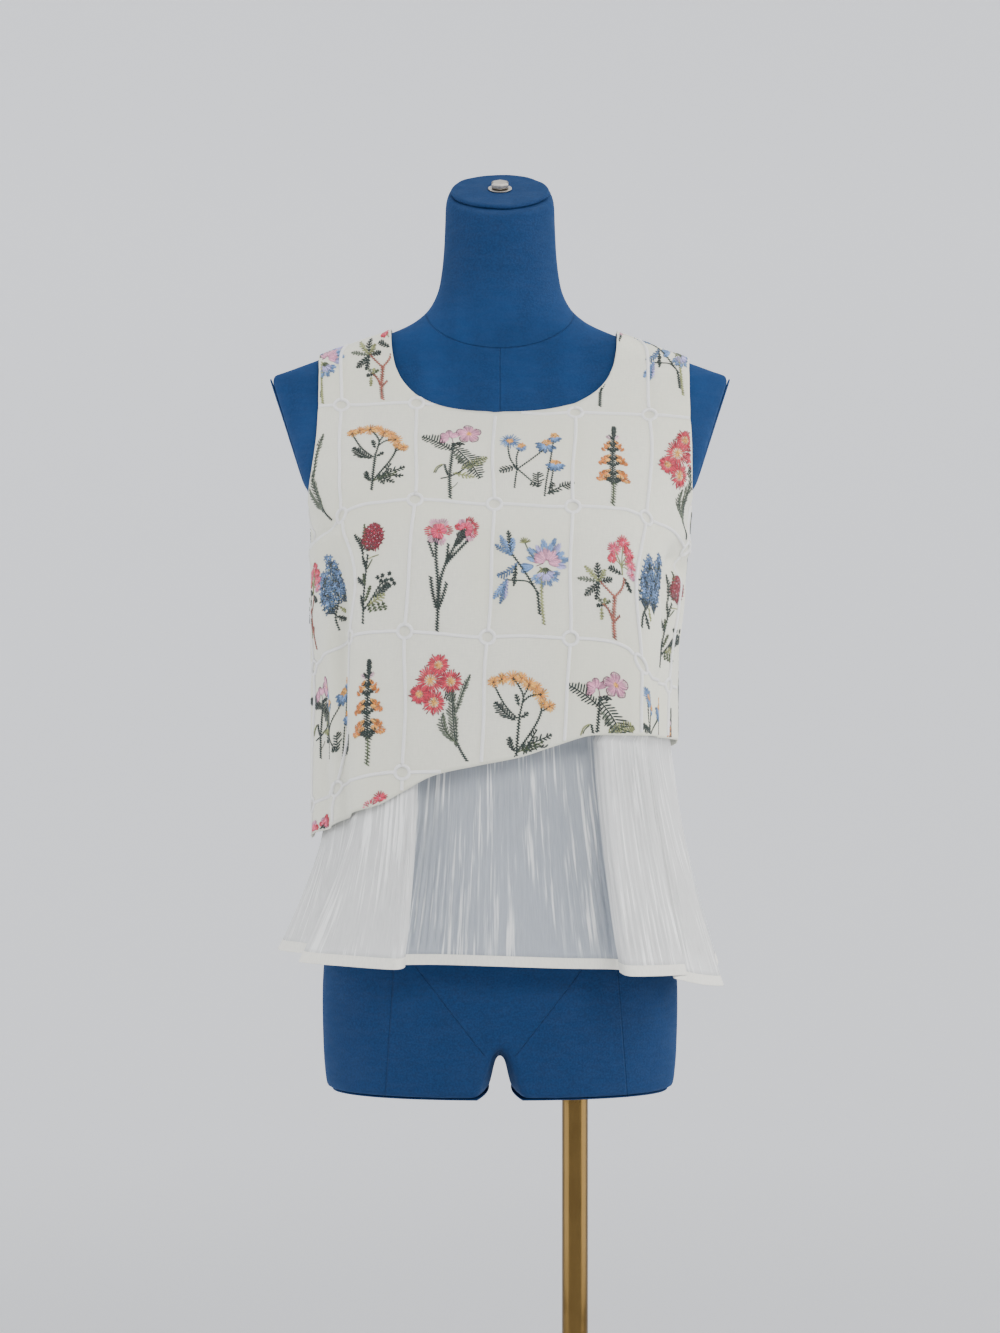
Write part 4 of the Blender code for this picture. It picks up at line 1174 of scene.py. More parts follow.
def bell_spike(sew):
    """A spike of orange bells round a dark leafy spine."""
    sew.stem([(-0.5, -43), (0.5, -32), (0.5, -21)], "moss", 4.0, 1.5)
    sew.stem([(0.5, -21), (-0.5, 0), (1, 20), (2, 43)], "pine", 6.0, 1.1, 0.6)
    for side in (-1, 1):
        for y, reach, wide in (
            (-14, 12.5, 8),
            (-8, 10, 7),
            (4, 10.5, 7.5),
            (9, 8, 6),
            (20, 7.5, 6.5),
            (25, 5.5, 5),
        ):
            base = (0.5 + side * 1.6, y + 2.5)
            tip = (0.5 + side * reach, y - 2.5)
            way = math.degrees(math.atan2(tip[1] - base[1], tip[0] - base[0]))
            sew.petal(base, way, reach * 0.98, wide * 5.5, "orange", None, 6, "amber")
            sew.fan(tip, 0.3, 2.6, 7, "amber", way - 80, 160, 0.8)
        sew.fan((0.5 + side * 11, -16.5), 0.5, 3.4, 6, "orange", -90 - 60, 120)
        sew.petal((0.5 + side * 1.5, 28), 90 - side * 38, 6.5, 28, "pale_pink", None, 4)
    for y in (-15, -8, 1, 8, 17, 24, 31):
        for side in (-1, 1):
            sew.leaf((0.5, y - 2.5), (0.5 + side * (5.5 - 0.06 * y), y + 1.5), "pine", 4.2, 1.0)
    for side in (-1, 1):
        sew.leaf((0.5, -22), (0.5 + side * 6.5, -14.5), "pine", 4.5, 1.0)
    sew.leaf((1.5, 31), (2.2, 44), "pine", 5, 1.0)


def red_daisies(sew):
    """A head of red daisies with orange hearts over long grey-green leaves."""
    sew.leaf((12, -32), (9, 17), "grey_green", 9.5, 1.35, 1.5, 1.0, "pine")
    sew.leaf((12, -3), (24, 30), "grey_green", 5.5, 1.3, 1.0, 1.0, "pine")
    sew.leaf((13, -30), (1, -3), "grey_green", 8.5, 1.3, 5.0, 1.0, "moss")
    sew.line([(13, -30), (3, -20), (-1, -10), (1, -3)], "pine", 0.7)
    sew.stem([(21, -44), (16, -36), (13, -29)], "pine", 2.2)
    sew.stem([(13, -29), (11.5, -10), (9, 14)], "pine", 1.4, 1.6)
    sew.seeds((7, 12), 5, 5, 26, "pine", 2.6, 0.8, 70)
    for x, y, far in ((-3, 38, 9.4), (7.5, 24, 10), (-19.5, 13, 8.4), (-10, 25, 12), (-7, 6, 10.6)):
        sew.fan((x, y), far * 0.4, far, 40, "red", turn=x, width=1.05)
        sew.fan((x, y), far * 0.3, far * 0.7, 16, "coral", turn=x + 6)
        sew.fan((x, y), 0.3, far * 0.38, 14, "orange", turn=x + 14)
        sew.fan((x, y), far * 0.86, far * 1.08, 15, "wine", turn=x + 3, width=0.8)


def thistle(sew):
    """A dark red seeded head in green sepals, with leaves and dark berries."""
    sew.leaf((-7, 14), (-16, 33), "pine", 4.5, 1.2, -1.5)
    sew.leaf((-6, 20), (-7, 40), "moss", 4, 1.3)
    sew.fan((-1, 17), 0.5, 7.5, 13, "pine", 20, 140, 0.9)
    sew.fan((-1, 17), 0.5, 4, 8, "moss", 0, 180)
    sew.seeds((1, 27.5), 9.2, 11, 150, "wine", 2.6, 1.2)
    sew.fan((1, 27.5), 8.6, 10.8, 30, "wine", width=0.9, squash=1.15)
    sew.seeds((1, 28), 8.8, 10.6, 44, "red", 1.8, 1.0)
    sew.seeds((1.5, 28), 8.2, 10, 22, "pale_pink", 1.3, 0.95)
    sew.stem([(-5.5, -41), (-5.5, -23), (-5, -10), (-3, 13)], "pine", 1.8, 1.3)
    sew.leaf((-4, 1), (-8, 13.5), "pine", 3.2)
    sew.line([(-2, 10), (1.5, 11), (6.5, 12)], "olive", 0.9)
    sew.line([(-3, 2), (1, 9)], "moss", 1.0)
    sew.leaf((-5, -11), (-12, -3), "pine", 4.2)
    sew.leaf((-4.5, -11), (-6.5, -1), "moss", 3)
    sew.leaf((-5, -30), (-8, -18), "pine", 3)
    sew.leaf((-4, -24), (0, -12), "moss", 3.6)
    sew.stem([(-5, -31), (3, -20), (8, -11), (17, -8)], "pine", 1.6, 1.3)
    for x, y in ((6, -6), (10, -5), (13, -9), (16, -4), (18, -9), (12, -14), (16, -14), (9, -9), (20, -12)):
        sew.fan((x, y), 0.2, 2.0, 8, "pine", turn=x * 20, width=1.0)
    sew.leaf((-1, -27), (12, -20), "olive", 7, 1.4)
    sew.leaf((3, -22), (16, -12), "pine", 8, 1.0)
    for x in (-2, 2, 6, 10):
        sew.leaf((x, -26), (x + 3, -33), "moss", 4, 1.2)


def carnations(sew):
    """Two carnations on long thin stems with narrow leaves."""
    for path, width in (
        ([(-13.4, -47), (-12.5, -27), (-12.5, -4), (-14.4, 12), (-14, 27)], 2.2),
        ([(-12.5, -27), (-11, -6), (-6.5, 8), (2, 24)], 2.0),
        ([(-16, 14), (-20, 26)], 1.8),
        ([(-5.5, 9), (-4, 24)], 1.7),
        ([(-5, 9), (4, 19), (12, 27)], 1.8),
        ([(-14, -28), (-17, -16), (-18.5, -3)], 2.2),
        ([(-12, -28), (-8, -18), (-5.5, -8)], 2.2),
    ):
        sew.stem(path, "pine", width * 1.35, 1.2)
    sew.fan((-14, 23), 0.5, 7, 9, "pine", 65, 50, 1.0)
    sew.leaf((1, 22), (10, 36), "pine", 9, 1.0)
    for turn in (5, 62, 118, 178, 226, 285):
        sew.petal((-12, 35), turn, 12.5, 48, "rose", None, 6, "red" if turn in (5, 178) else "pink")
    sew.fan((-12, 35), 0.5, 7, 20, "red", width=0.95)
    for turn in (165, 118, 60, 15, -30, -62):
        tip = "pink" if turn in (-62, 118) else "red"
        sew.petal((10, 37), turn, 12 if turn < 100 else 9.5, 44, "rose", None, 6, tip)
    sew.fan((10, 37), 0.5, 5, 12, "red", -40, 230)


def spider_flower(sew):
    """A large blue and pink flower with blue buds on a dark stem."""
    sew.stem([(6.7, 7), (7.2, -18), (8.9, -37)], "olive", 2.4, 1.3)
    sew.stem([(4, -12), (5.5, -29)], "pine", 2.4, 1.2)
    sew.stem([(-17, 19), (-8, 7), (1.7, -8), (4, -13)], "pine", 1.7)
    sew.line([(-22, -2), (-10, -2.5), (-3, -3), (2, -9)], "pine", 1.0)
    for turn in (200, 222, 250, 285, 318, 345):
        sew.petal((10, 4), turn + 8, 13, 22, "lavender", None, 4, "blue")
    for turn in (-12, 10, 32, 54, 76, 98, 120, 142, 164):
        tip = "blue" if turn % 3 else "lavender"
        sew.petal((11, 11), turn, 20 if turn % 4 else 17, 17, "pink", None, 5, tip)
    for turn in (-5, 20, 44, 68, 90, 112, 134, 158, 178):
        sew.petal((11, 12), turn, 12, 18, "pink", None, 4)
    sew.fan((11, 12), 2, 9, 16, "plum", -20, 220, 0.6)
    sew.petal((13, 18), 68, 15, 14, "blue", None, 5, "steel_blue")
    sew.fan((10, 8), 0.5, 8, 9, "moss", 215, 110)
    for turn in (180, 205):
        sew.petal((2, 9), turn, 12, 22, "blue", "steel_blue", 5)
    for tip, thread in (
        ((-30, 26), "steel_blue"),
        ((-26, 33), "blue"),
        ((-19.5, 37), "pine"),
        ((-15.5, 31), "blue"),
    ):
        sew.leaf((-17, 17), tip, thread, 5, 1.1)
    sew.leaf((-12, 11), (-28, 1), "steel_blue", 7, 1.2, 2)
    sew.leaf((-13, 10), (-15, -7), "pine", 4)
    sew.leaf((-20, -1), (-31, -17), "blue", 6, 1.1)
    sew.leaf((-20, -2), (-26, -21), "steel_blue", 5, 1.1)
    sew.leaf((-20, -2), (-22, -17), "lavender", 3.5, 1.2)
    sew.fan((-6, 27), 0.4, 5, 10, "olive", 20, 150)
    sew.line([(-6, 27), (-3, 20), (3, 12)], "moss", 0.9)


def coral_branch(sew):
    """Pink-red blossoms on a forked brown branch with small leaves."""
    sew.stem([(5, -42), (3.5, -29), (5, -8)], "brown", 3.4, 1.2)
    sew.stem([(5, -8), (12, 0), (13.3, 8)], "brown", 1.9)
    sew.stem([(4.5, -8), (-2, -2), (-7, 3)], "brown", 1.8)
    sew.stem([(2.5, -26), (0, -19), (-4.5, -15)], "brown", 2.0)
    sew.stem([(5, -28), (9, -23)], "brown", 1.8)
    sew.leaf((11, 11), (0, 15), "pine", 6)
    sew.leaf((13, 9), (19, 0), "pine", 4.5)
    for tip, thread, width in (
        ((-10, 18), "pine", 6),
        ((-20, 15), "olive", 5),
        ((-26, 5), "grey_green", 4.5),
        ((-20, -9), "pine", 6.5),
        ((-11, -12), "pine", 5.5),
        ((-3, 13), "olive", 4.5),
        ((3, 6), "pine", 5.5),
    ):
        sew.leaf((-8, 3), tip, thread, width, 1.25)
    for tip, thread in (
        ((-9, -10), "grey_green"),
        ((-3, -10), "olive"),
        ((-10, -17), "pine"),
        ((1, -12), "moss"),
    ):
        sew.leaf((-4.5, -16), tip, thread, 3.4, 1.2)
    sew.leaf((-6, -18), (-6, -28), "olive", 4)
    for end in ((13, 36), (5, 30), (4, 23), (17, 29), (18.5, 22), (19, 15)):
        sew.line([(12, 11), (11, 19), end], "olive", 0.8)
    for x, y, reach, thread in (
        (13, 37, 6.5, "red"),
        (5, 31, 6.5, "rose"),
        (17.7, 29.5, 5.5, "red"),
        (19, 22, 5.5, "rose"),
        (20, 14.5, 4.8, "pink"),
        (3, 23, 4.6, "red"),
    ):
        sew.fan((x, y), 0.3, reach, 22, thread, turn=x * 11, width=0.95)
        sew.fan((x, y), 0.2, reach * 0.6, 12, "red" if thread != "red" else "rose", turn=10, width=0.95)
        sew.seeds((x, y), 1.0, 1.0, 3, "pale_pink", 1.0)


def hyacinth(sew):
    """Two dense lobes of blue florets on a thin dark stem."""
    sew.stem([(-3, -38), (-5, -25), (0, -12), (1, 12)], "pine", 1.6, 1.4)
    sew.leaf((0, -16), (4.5, -25), "olive", 3)
    sew.leaf((-3, -24), (4, -33), "pine", 4.5)
    for centre, rx, ry in (((-6, 4), 6.6, 23), ((5.5, 11), 6.4, 25)):
        sew.stem([(centre[0], centre[1] - ry), (centre[0], centre[1] + ry * 0.7)], "pine", 4.5, 1.2, 0.5)
        for k in range(64):
            reach = math.sqrt((k + 0.5) / 64)
            x, y = polar((0, 0), k * 137.5, reach)
            place = (centre[0] + x * rx, centre[1] + y * ry)
            thread = ("blue", "steel_blue", "navy", "steel_blue", "pine")[k % 5]
            sew.fan(place, 0.4, 2.8, 5, thread, turn=k * 40, width=1.15)
    sew.line([(1, 12), (2, 24)], "olive", 1.0)


SPRIGS = {
    "A": umbel,
    "B": blossom,
    "C": blue_daisies,
    "D": bell_spike,
    "E": red_daisies,
    "F": thistle,
    "G": carnations,
    "H": spider_flower,
    "I": coral_branch,
    "J": hyacinth,
}
SPRIG_SEED = 100
SHADE_SEED = 7
SHADES = (0.55, 1.45)
# Stitches lie in a few low layers, so that they cross without sharing a face.
LAYERS = 7
LAYER_LOW = 0.12
LAYER_RISE = 0.28
STITCH_OVERLAP = 0.5
STITCH_HEIGHT = 0.8
# Which sprigs fill the cells above each level line, from the first upright line rightwards, over and over;
# drop and shift move the whole row down and sideways.
SprigRow = namedtuple("SprigRow", "level sprigs first drop shift")
SPRIG_ROWS = (
    SprigRow(-2, "FGHIJ", 0, 5.0, 0.0),
    SprigRow(-1, "ABCDE", 0, 4.0, 0.0),
    SprigRow(0, "FGHIJ", 2, 4.0, 3.5),
    SprigRow(1, "ABCDE", 2, 3.0, 3.0),
    SprigRow(2, "FGHIJ", 0, 3.0, 0.0),
)
# Sprigs on the front that sit off their cell's middle: (level, cell) with the moves along and up the cloth,
# the turn in degrees and the size.
FRONT_MOVES = {
    (2, -3): (18, -20, 0, 0.85),
    (2, -2): (6, -10, 0, 0.92),
    (2, 1): (8, -14, 0, 0.9),
    (2, 2): (-6, -12, 0, 0.85),
    (1, -2): (3.6, -2.5, 0, 0.95),
    (1, -1): (3, -9, 0, 1),
    (1, 0): (5.7, -8.5, 0, 1),
    (1, 1): (2.5, -11, 0, 1),
    (1, 2): (3, -11, 0, 0.95),
    (0, -4): (41, 4, 0, 1),
    (0, -3): (11, 5, 9, 1),
    (0, -2): (0, 3, 0, 1.02),
    (0, -1): (2.3, -1.5, 0, 1),
    (0, 0): (1, -4.5, 0, 1.04),
    (0, 1): (-3, -10, 0, 1),
    (0, 2): (-31, 4, -14, 0.86),
    (0, 3): (-41, -4, -10, 0.95),
    (-1, -4): (47, 16, 0, 0.8),
    (-1, -3): (15, 6, 0, 0.93),
    (-1, -2): (1.5, 0, 0, 1),
    (-1, -1): (-3.4, 0, 0, 0.97),
    (-1, 0): (-5.7, -8, 0, 1),
    (-1, 1): (-5.7, -8.5, 0, 1),
    (-1, 2): (-9, 16, 0, 0.88),
    (-1, 3): (-28, -2, 0, 0.95),
    (-2, -4): (44, 14, 0, 0.7),
    (-2, -3): (0, -30, 0, 0.8),
    (-2, -2): (-1, 5, 0, 1),
}


def sprig_places(panel):
    """(sprig letter, u, v, turn, size) of each sprig over the panel, from its middle."""
    moves = FRONT_MOVES if panel.facing < 0 else {}
    for row in SPRIG_ROWS:
        for cell in range(-4, 5):
            letter = row.sprigs[(cell + row.first) % 5]
            along, up, turn, size = moves.get((row.level, cell), (0, 0, 0, 1))
            u = FIRST_LINE + LINE_PITCH * (cell + 0.5) + row.shift + along
            yield letter, u, ROW_HEIGHT * (row.level + 0.5) - row.drop + up, math.radians(turn), size


def stitch_mesh():
    """One stitch, 1 long and 1 wide: a low closed ridge that narrows to both ends."""
    low, high, wide = -0.12, 0.5, 0.5
    points = [(-0.5, 0, 0.02), (0.5, 0, 0.02)]
    for x in (-0.3, 0.3):
        points += [(x, -wide, low), (x, 0, high), (x, wide, low)]
    faces = [(0, 3, 2), (0, 4, 3), (0, 2, 4), (1, 5, 6), (1, 6, 7), (1, 7, 5)]
    faces += [(2, 3, 6, 5), (3, 4, 7, 6), (4, 2, 5, 7)]
    return face_outwards(mesh_of("stitch", points, faces=faces))


def add_sprigs(panel, outline, threads, finish):
    """The flower sprigs of one panel: Geometry Nodes lay one stitch on each point, turned and coloured."""
    drawn = {}
    for number, (letter, draw) in enumerate(SPRIGS.items()):
        needle = Needle(SPRIG_SEED + number)
        draw(needle)
        drawn[letter] = needle.stitches
    luck = random.Random(SHADE_SEED)
    ends, widths, colours = [], [], []
    for letter, u, v, turn, size in sprig_places(panel):
        cosine, sine = math.cos(turn) * size, math.sin(turn) * size
        for *end_xy, width, thread in drawn[letter]:
            pairs = (end_xy[:2], end_xy[2:])
            ends.append([p for x, y in pairs for p in (u + x * cosine - y * sine, v + x * sine + y * cosine)])
            widths.append(width)
            colours.append(shade(threads[thread], luck.uniform(*SHADES)))
    ends, widths, colours = np.array(ends), np.array(widths), np.array(colours)

    def on_panel(u, v):
        z = height_of(panel.facing, u, v)
        near = ((EDGE_MARGIN, 0), (-EDGE_MARGIN, 0), (0, EDGE_MARGIN), (0, -EDGE_MARGIN))
        return np.all([inside(outline, u + du, z + dz) for du, dz in near], axis=0)

    # A stitch that crosses the cloth's edge is shortened by half up to three times, and left out if that fails.
    for _ in range(3):
        first, second = on_panel(*ends[:, :2].T), on_panel(*ends[:, 2:].T)
        middle = (ends[:, :2] + ends[:, 2:]) / 2
        ends[:, :2] = np.where((~first & second)[:, None], middle, ends[:, :2])
        ends[:, 2:] = np.where((first & ~second)[:, None], middle, ends[:, 2:])
    keep = on_panel(*ends[:, :2].T) & on_panel(*ends[:, 2:].T)
    starts_z = height_of(panel.facing, ends[:, 0], ends[:, 1])
    ends_z = height_of(panel.facing, ends[:, 2], ends[:, 3])
    layer = LAYER_LOW + LAYER_RISE * (np.arange(len(ends)) % LAYERS) / LAYERS
    starts, _ = on_cloth(panel, ends[keep, 0], starts_z[keep])
    stops, _ = on_cloth(panel, ends[keep, 2], ends_z[keep])
    middle_u, middle_z = (ends[keep, 0] + ends[keep, 2]) / 2, (starts_z[keep] + ends_z[keep]) / 2
    middles, normals = on_cloth(panel, middle_u, middle_z)
    middles = (starts + stops + 2 * middles) / 4 + normals * layer[keep]
    points, turns, sizes = [], [], []
    for start, stop, middle, normal, width in zip(starts.T, stops.T, middles.T, normals.T, widths[keep]):
        way = Vector(stop - start)
        length = way.length
        across = Vector(normal).cross(way).normalized()
        way.normalize()
        rise = way.cross(across)
        turns.append(tuple(Matrix((way, across, rise)).transposed().to_euler()))
        points.append(tuple(middle * MM))
        sizes.append(((length + STITCH_OVERLAP) * MM, width * MM, width * STITCH_HEIGHT * MM))
    mesh = mesh_of("stitch_places", points)
    for name, kind, field, values in (
        ("turn", "FLOAT_VECTOR", "vector", turns),
        ("size", "FLOAT_VECTOR", "vector", sizes),
        ("thread", "FLOAT_COLOR", "color", [(*c, 1.0) for c in colours[keep]]),
    ):
        layer_data = mesh.attributes.new(name, kind, "POINT")
        layer_data.data.foreach_set(field, np.array(values, np.float32).reshape(-1))
    obj = add_piece(f"{panel.name}_sprigs", mesh)
    stitch = bpy.data.objects.new("stitch", stitch_mesh())
    making = Making("sewn_sprigs", ("Stitch", "Object", None), ("Width", "Float", 1.0))
    sockets = {"Object": making.inputs["Stitch"]}
    shape = making.node("GeometryNodeObjectInfo", None, sockets).outputs["Geometry"]
    sockets = {0: making.named("turn", "FLOAT_VECTOR")}
    turn = making.node("FunctionNodeEulerToRotation", None, sockets).outputs[0]
    sockets = {0: 1.0, 1: making.inputs["Width"], 2: 1.0}
    scale = making.node("ShaderNodeCombineXYZ", None, sockets).outputs[0]
    sockets = {0: making.named("size", "FLOAT_VECTOR"), 1: scale}
    size = making.node("ShaderNodeVectorMath", {"operation": "MULTIPLY"}, sockets).outputs[0]
    sockets = {"Points": making.inputs["Geometry"], "Instance": shape, "Rotation": turn, "Scale": size}
    making.end(making.node("GeometryNodeInstanceOnPoints", None, sockets).outputs[0], finish)
    making.apply(obj, Stitch=stitch, Width=1.0)
    bpy.data.objects.remove(stitch)
    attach(obj, "root")
    return obj


# Peplum: each row is one crest or trough, with its place in plan under the bodice and at the hem.
PEPLUM_HEM_HEIGHT = 9.0
PEPLUM_TOP_Z = 1046.0
PEPLUM_SEAM_HEIGHT = 8.0
PEPLUM_GATHER_HEIGHT = 22.0
PEPLUM_FLARE_ABOVE_HEM = 8.0
PEPLUM_FLARE_POWER = 1.35
Crest = namedtuple("Crest", "top_x top_y hem_x hem_y hem_z")
LEFT_SEAM = Crest(-154, 0, -192, 10, 834)
RIGHT_SEAM = Crest(148, 0, 187, 14, 812)
PEPLUM_FRONT = (
    LEFT_SEAM,
    Crest(-152, -20, -192, -14, 832),
    Crest(-144, -47, -173, -50, 833),
    Crest(-130, -70, -159, -78, 832),
    Crest(-121, -95, -168, -112, 831),
    Crest(-107, -114, -130, -138, 830),
    Crest(-76, -125, -88, -158, 829),
    Crest(-69, -118, -79, -140, 829),
    Crest(-66, -108, -84, -121, 829),
    Crest(-40, -113, -50, -118, 829),
    Crest(0, -116, 0, -123, 828),
    Crest(40, -113, 55, -120, 826),
    Crest(74, -107, 97, -117, 825),
    Crest(78, -117, 100, -136, 824),
    Crest(85, -125, 107, -153, 823),
    Crest(104, -117, 133, -141, 822),
    Crest(119, -108, 156, -122, 821),
    Crest(122, -91, 148, -89, 815),
    Crest(127, -78, 171, -70, 808),
    Crest(137, -50, 193, -31, 803),
    Crest(145, -22, 185, -5, 806),
    RIGHT_SEAM,
)
PEPLUM_BACK = (
    LEFT_SEAM,
    Crest(-147, 28, -185, 38, 835),
    Crest(-134, 60, -176, 84, 834),
    Crest(-118, 76, -140, 100, 833),
    Crest(-96, 88, -122, 146, 832),
    Crest(-70, 88, -82, 132, 831),
    Crest(-42, 94, -52, 160, 830),
    Crest(-12, 89, -14, 138, 829),
    Crest(18, 95, 22, 162, 829),
    Crest(44, 89, 52, 136, 828),
    Crest(72, 93, 92, 156, 827),
    Crest(95, 84, 112, 122, 826),
    Crest(119, 80, 160, 116, 824),
    Crest(134, 57, 166, 72, 822),
    Crest(144, 30, 192, 38, 818),
    RIGHT_SEAM,
)
PER_FOLD = 26
PEPLUM_ROWS = 34
PEPLUM_SEAM_LIFT = 0.7
BAND_LIFT = 0.25
BAND_EDGE = 0.0005
CRINKLE_PITCH = 6.2
CRINKLE_DRIFTS = ((2.2, 17, 0), (1.4, 41, 1))
CRINKLE_START = 6
CRINKLE_FADE = 40
# The crests between which the front's cloth lies single, and how dense the back is.
SINGLE_CRESTS = (7.0, 13.1)
BACK_DENSITY = 0.6


def closed_curve(points, per_gap):
    """A Catmull-Rom curve round through the points, with per_gap steps between each two."""
    points = np.asarray(points, float)
    turns = [np.roll(points, k, axis=0) for k in (1, 0, -1, -2)]
    t = np.linspace(0, 1, per_gap, endpoint=False)[:, None]
    out = []
    for a, b, c, d in zip(*turns):
        square = (2 * a - 5 * b + 4 * c - d) * t**2
        cube = (3 * b - a - 3 * c + d) * t**3
        out.append(0.5 * (2 * b + (c - a) * t + square + cube))
    return np.vstack(out)


def peplum_curve(facing):
    """One panel's part, from left to right, of the curve through every crest and trough."""
    front_length = (len(PEPLUM_FRONT) - 1) * PER_FOLD
    round_all = closed_curve([*PEPLUM_FRONT, *PEPLUM_BACK[-2:0:-1]], PER_FOLD)
    if facing < 0:
        return round_all[: front_length + 1]
    return np.vstack([round_all[front_length:], round_all[:1]])[::-1]


def peplum_sheet(panel, ripple):
    """Outer points of a peplum panel and of its hem band, each with (s, z), and how dense the cloth lies."""
    facing = panel.facing
    curve = peplum_curve(facing)
    top_xy, hem_xy, hem_z = curve[:, 0:2].T, curve[:, 2:4].T, curve[:, 4]
    along = run_lengths(*top_xy)
    share = 2 * along / along[-1] - 1
    flare_top = hem_height(panel, share) + PEPLUM_FLARE_ABOVE_HEM
    gather_z = PEPLUM_TOP_Z - PEPLUM_SEAM_HEIGHT - PEPLUM_GATHER_HEIGHT
    hem_line = hem_z + PEPLUM_HEM_HEIGHT
    hem_along = run_lengths(*hem_xy)
    # Crinkles: small uneven pleats that run down the cloth, with their own width and depth here and there.
    phase = hem_along / CRINKLE_PITCH * math.tau
    for strength, length, start in CRINKLE_DRIFTS:
        phase = phase + strength * np.sin(hem_along / length + start)
    edge = np.stack([np.gradient(hem_xy[0]), np.gradient(hem_xy[1])])
    normal = np.stack([-edge[1], edge[0]]) * facing / np.hypot(*edge)

    def row(z, inset=0.0, crinkle=1.0):
        t = np.clip((flare_top - z) / (flare_top - hem_z), 0, 1) ** PEPLUM_FLARE_POWER
        plan = top_xy + (hem_xy - top_xy) * t
        swell = ease((flare_top - CRINKLE_START - z) / CRINKLE_FADE)
        deep = 0.7 + 0.3 * np.sin(hem_along / 29 + z / 37)
        wave = np.sin(phase + 0.9 * np.sin(z / 31 + hem_along / 53)) * deep
        plan = plan + normal * (ripple * wave * swell * crinkle - inset)
        return np.stack([plan[0], plan[1], z])

    sheer = []
    for z in (PEPLUM_TOP_Z, PEPLUM_TOP_Z - PEPLUM_SEAM_HEIGHT):
        level = np.full(share.shape, z)
        x, y = point_round(HANGING, level, share * half_round(level, facing), facing)
        reach = PEPLUM_SEAM_LIFT + fold_depth(panel.folds, share, level)
        sheer.append(np.stack([x, y, level]) + reach * outward(HANGING, x, y, level))
    for t in np.linspace(0, 1, PEPLUM_ROWS + 1):
        z = gather_z + (hem_line - 1 - gather_z) * t
        sheer.append(row(z, 0.0, 1 - ease((t - 0.9) / 0.1)))
    band = [row(hem_line - PEPLUM_HEM_HEIGHT * t, -BAND_LIFT, 0.0) for t in np.linspace(0, 1, 6)]
    # The pleats at both sides of the front lie double, and let less light through.
    crest = np.arange(len(curve)) / PER_FOLD
    first, last = SINGLE_CRESTS
    double = 1 - ease((crest - first) / 0.5) * ease((last - crest) / 0.5)
    if facing > 0:
        double = np.full(len(curve), BACK_DENSITY)
    out = []
    for part in (sheer, band):
        grid = np.stack(part, axis=1)
        grid[1] += facing * SEAM_GAP / 2
        out.append((grid, np.stack([np.broadcast_to(hem_along, grid[0].shape), grid[2]])))
    return *out, double


def sheer_crinkle(colour, opacity):
    """Thin crinkled weave that lets light through, with streaks along its pleats that are glossier, denser and
    painted lighter as a highlight; where it lies single it is painted darker and bluer.
    """
    finish = Finish("sheer_crinkle", Roughness=0.4, Sheen_Weight=0.3, Sheen_Roughness=0.35)
    streaks = finish.noise(finish.position(scale=(1, 0.035, 1), uv="cloth"), 0.0035, 3, 0.6)
    fine = finish.noise(finish.position(scale=(1, 0.06, 1), uv="cloth"), 0.0012, 2, 0.6)
    patches = finish.noise(finish.position(scale=(1, 0.3, 1), uv="cloth"), 0.03, 2)
    # Painted highlight: along the streaks the cloth is painted lighter, besides being made glossier and denser.
    gloss_and_painted_highlight = streaks.ramp(0.5, 0.64) * patches.ramp(0.38, 0.58)
    double = finish.attribute("double")
    # Painted show-through: where the cloth lies single it is painted darker and bluer, standing in for the dark
    # blue form seen through it.
    painted_show_through = (colour[0] * 0.79, colour[1] * 0.84, colour[2] * 0.91)
    plain = finish.mix(double, painted_show_through, shade(colour, 0.96))
    finish.set("Base Color", finish.mix(gloss_and_painted_highlight, plain, shade(colour, 1.08)))
    finish.set("Roughness", 0.46 - gloss_and_painted_highlight * 0.24)
    finish.set("Alpha", (opacity - 0.1 + fine * 0.16 + gloss_and_painted_highlight * 0.42 + double * 0.3).least(1.0))
    return finish.bump(streaks + fine * 0.5, 0.0014, 1.0)


def hem_band_cloth(colour):
    """The folded hem: the sheer cloth in several layers, with a fine grain."""
    finish = Finish("peplum_hem_cloth", Roughness=0.7, Sheen_Weight=0.2)
    fine = finish.noise(finish.position(scale=(1, 0.2, 1), uv="cloth"), 0.0012, 2, 0.6)
    broad = finish.noise(finish.position(), 0.02, 2)
    finish.set("Base Color", finish.mix(fine.ramp(0.35, 0.65), shade(colour, 0.92), colour))
    finish.set("Roughness", broad.ramp(0.3, 0.7, 0.62, 0.78))
    return finish.bump(fine + broad, 0.0003, 0.8)


def add_peplum(panel, wall, band_wall, ripple, sheer, band_cloth):
    (grid, uv), (band_grid, band_uv), double = peplum_sheet(panel, ripple / MM)
    mesh = grid_mesh(f"{panel.name}_peplum_sheer", grid, panel.facing < 0, uv)
    layers = mesh.attributes.new("double", "FLOAT", "POINT").data
    layers.foreach_set("value", np.tile(double, grid.shape[1]).astype(np.float32))
    obj = add_piece(mesh.name, mesh, sheer)
    flat = (float(uv[0].max()) * MM, float(uv[1].max() - uv[1].min()) * MM)
    add_wall(obj, wall)
    name = f"{panel.name}_peplum_hem"
    band = add_piece(name, grid_mesh(name, band_grid, panel.facing < 0, band_uv), band_cloth)
    add_wall(band, band_wall)
    add_bevel(band, BAND_EDGE, 2, 50)
    for piece in (obj, band):
        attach(piece, "root")
    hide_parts(f"peplum_{panel.name}")
    return obj


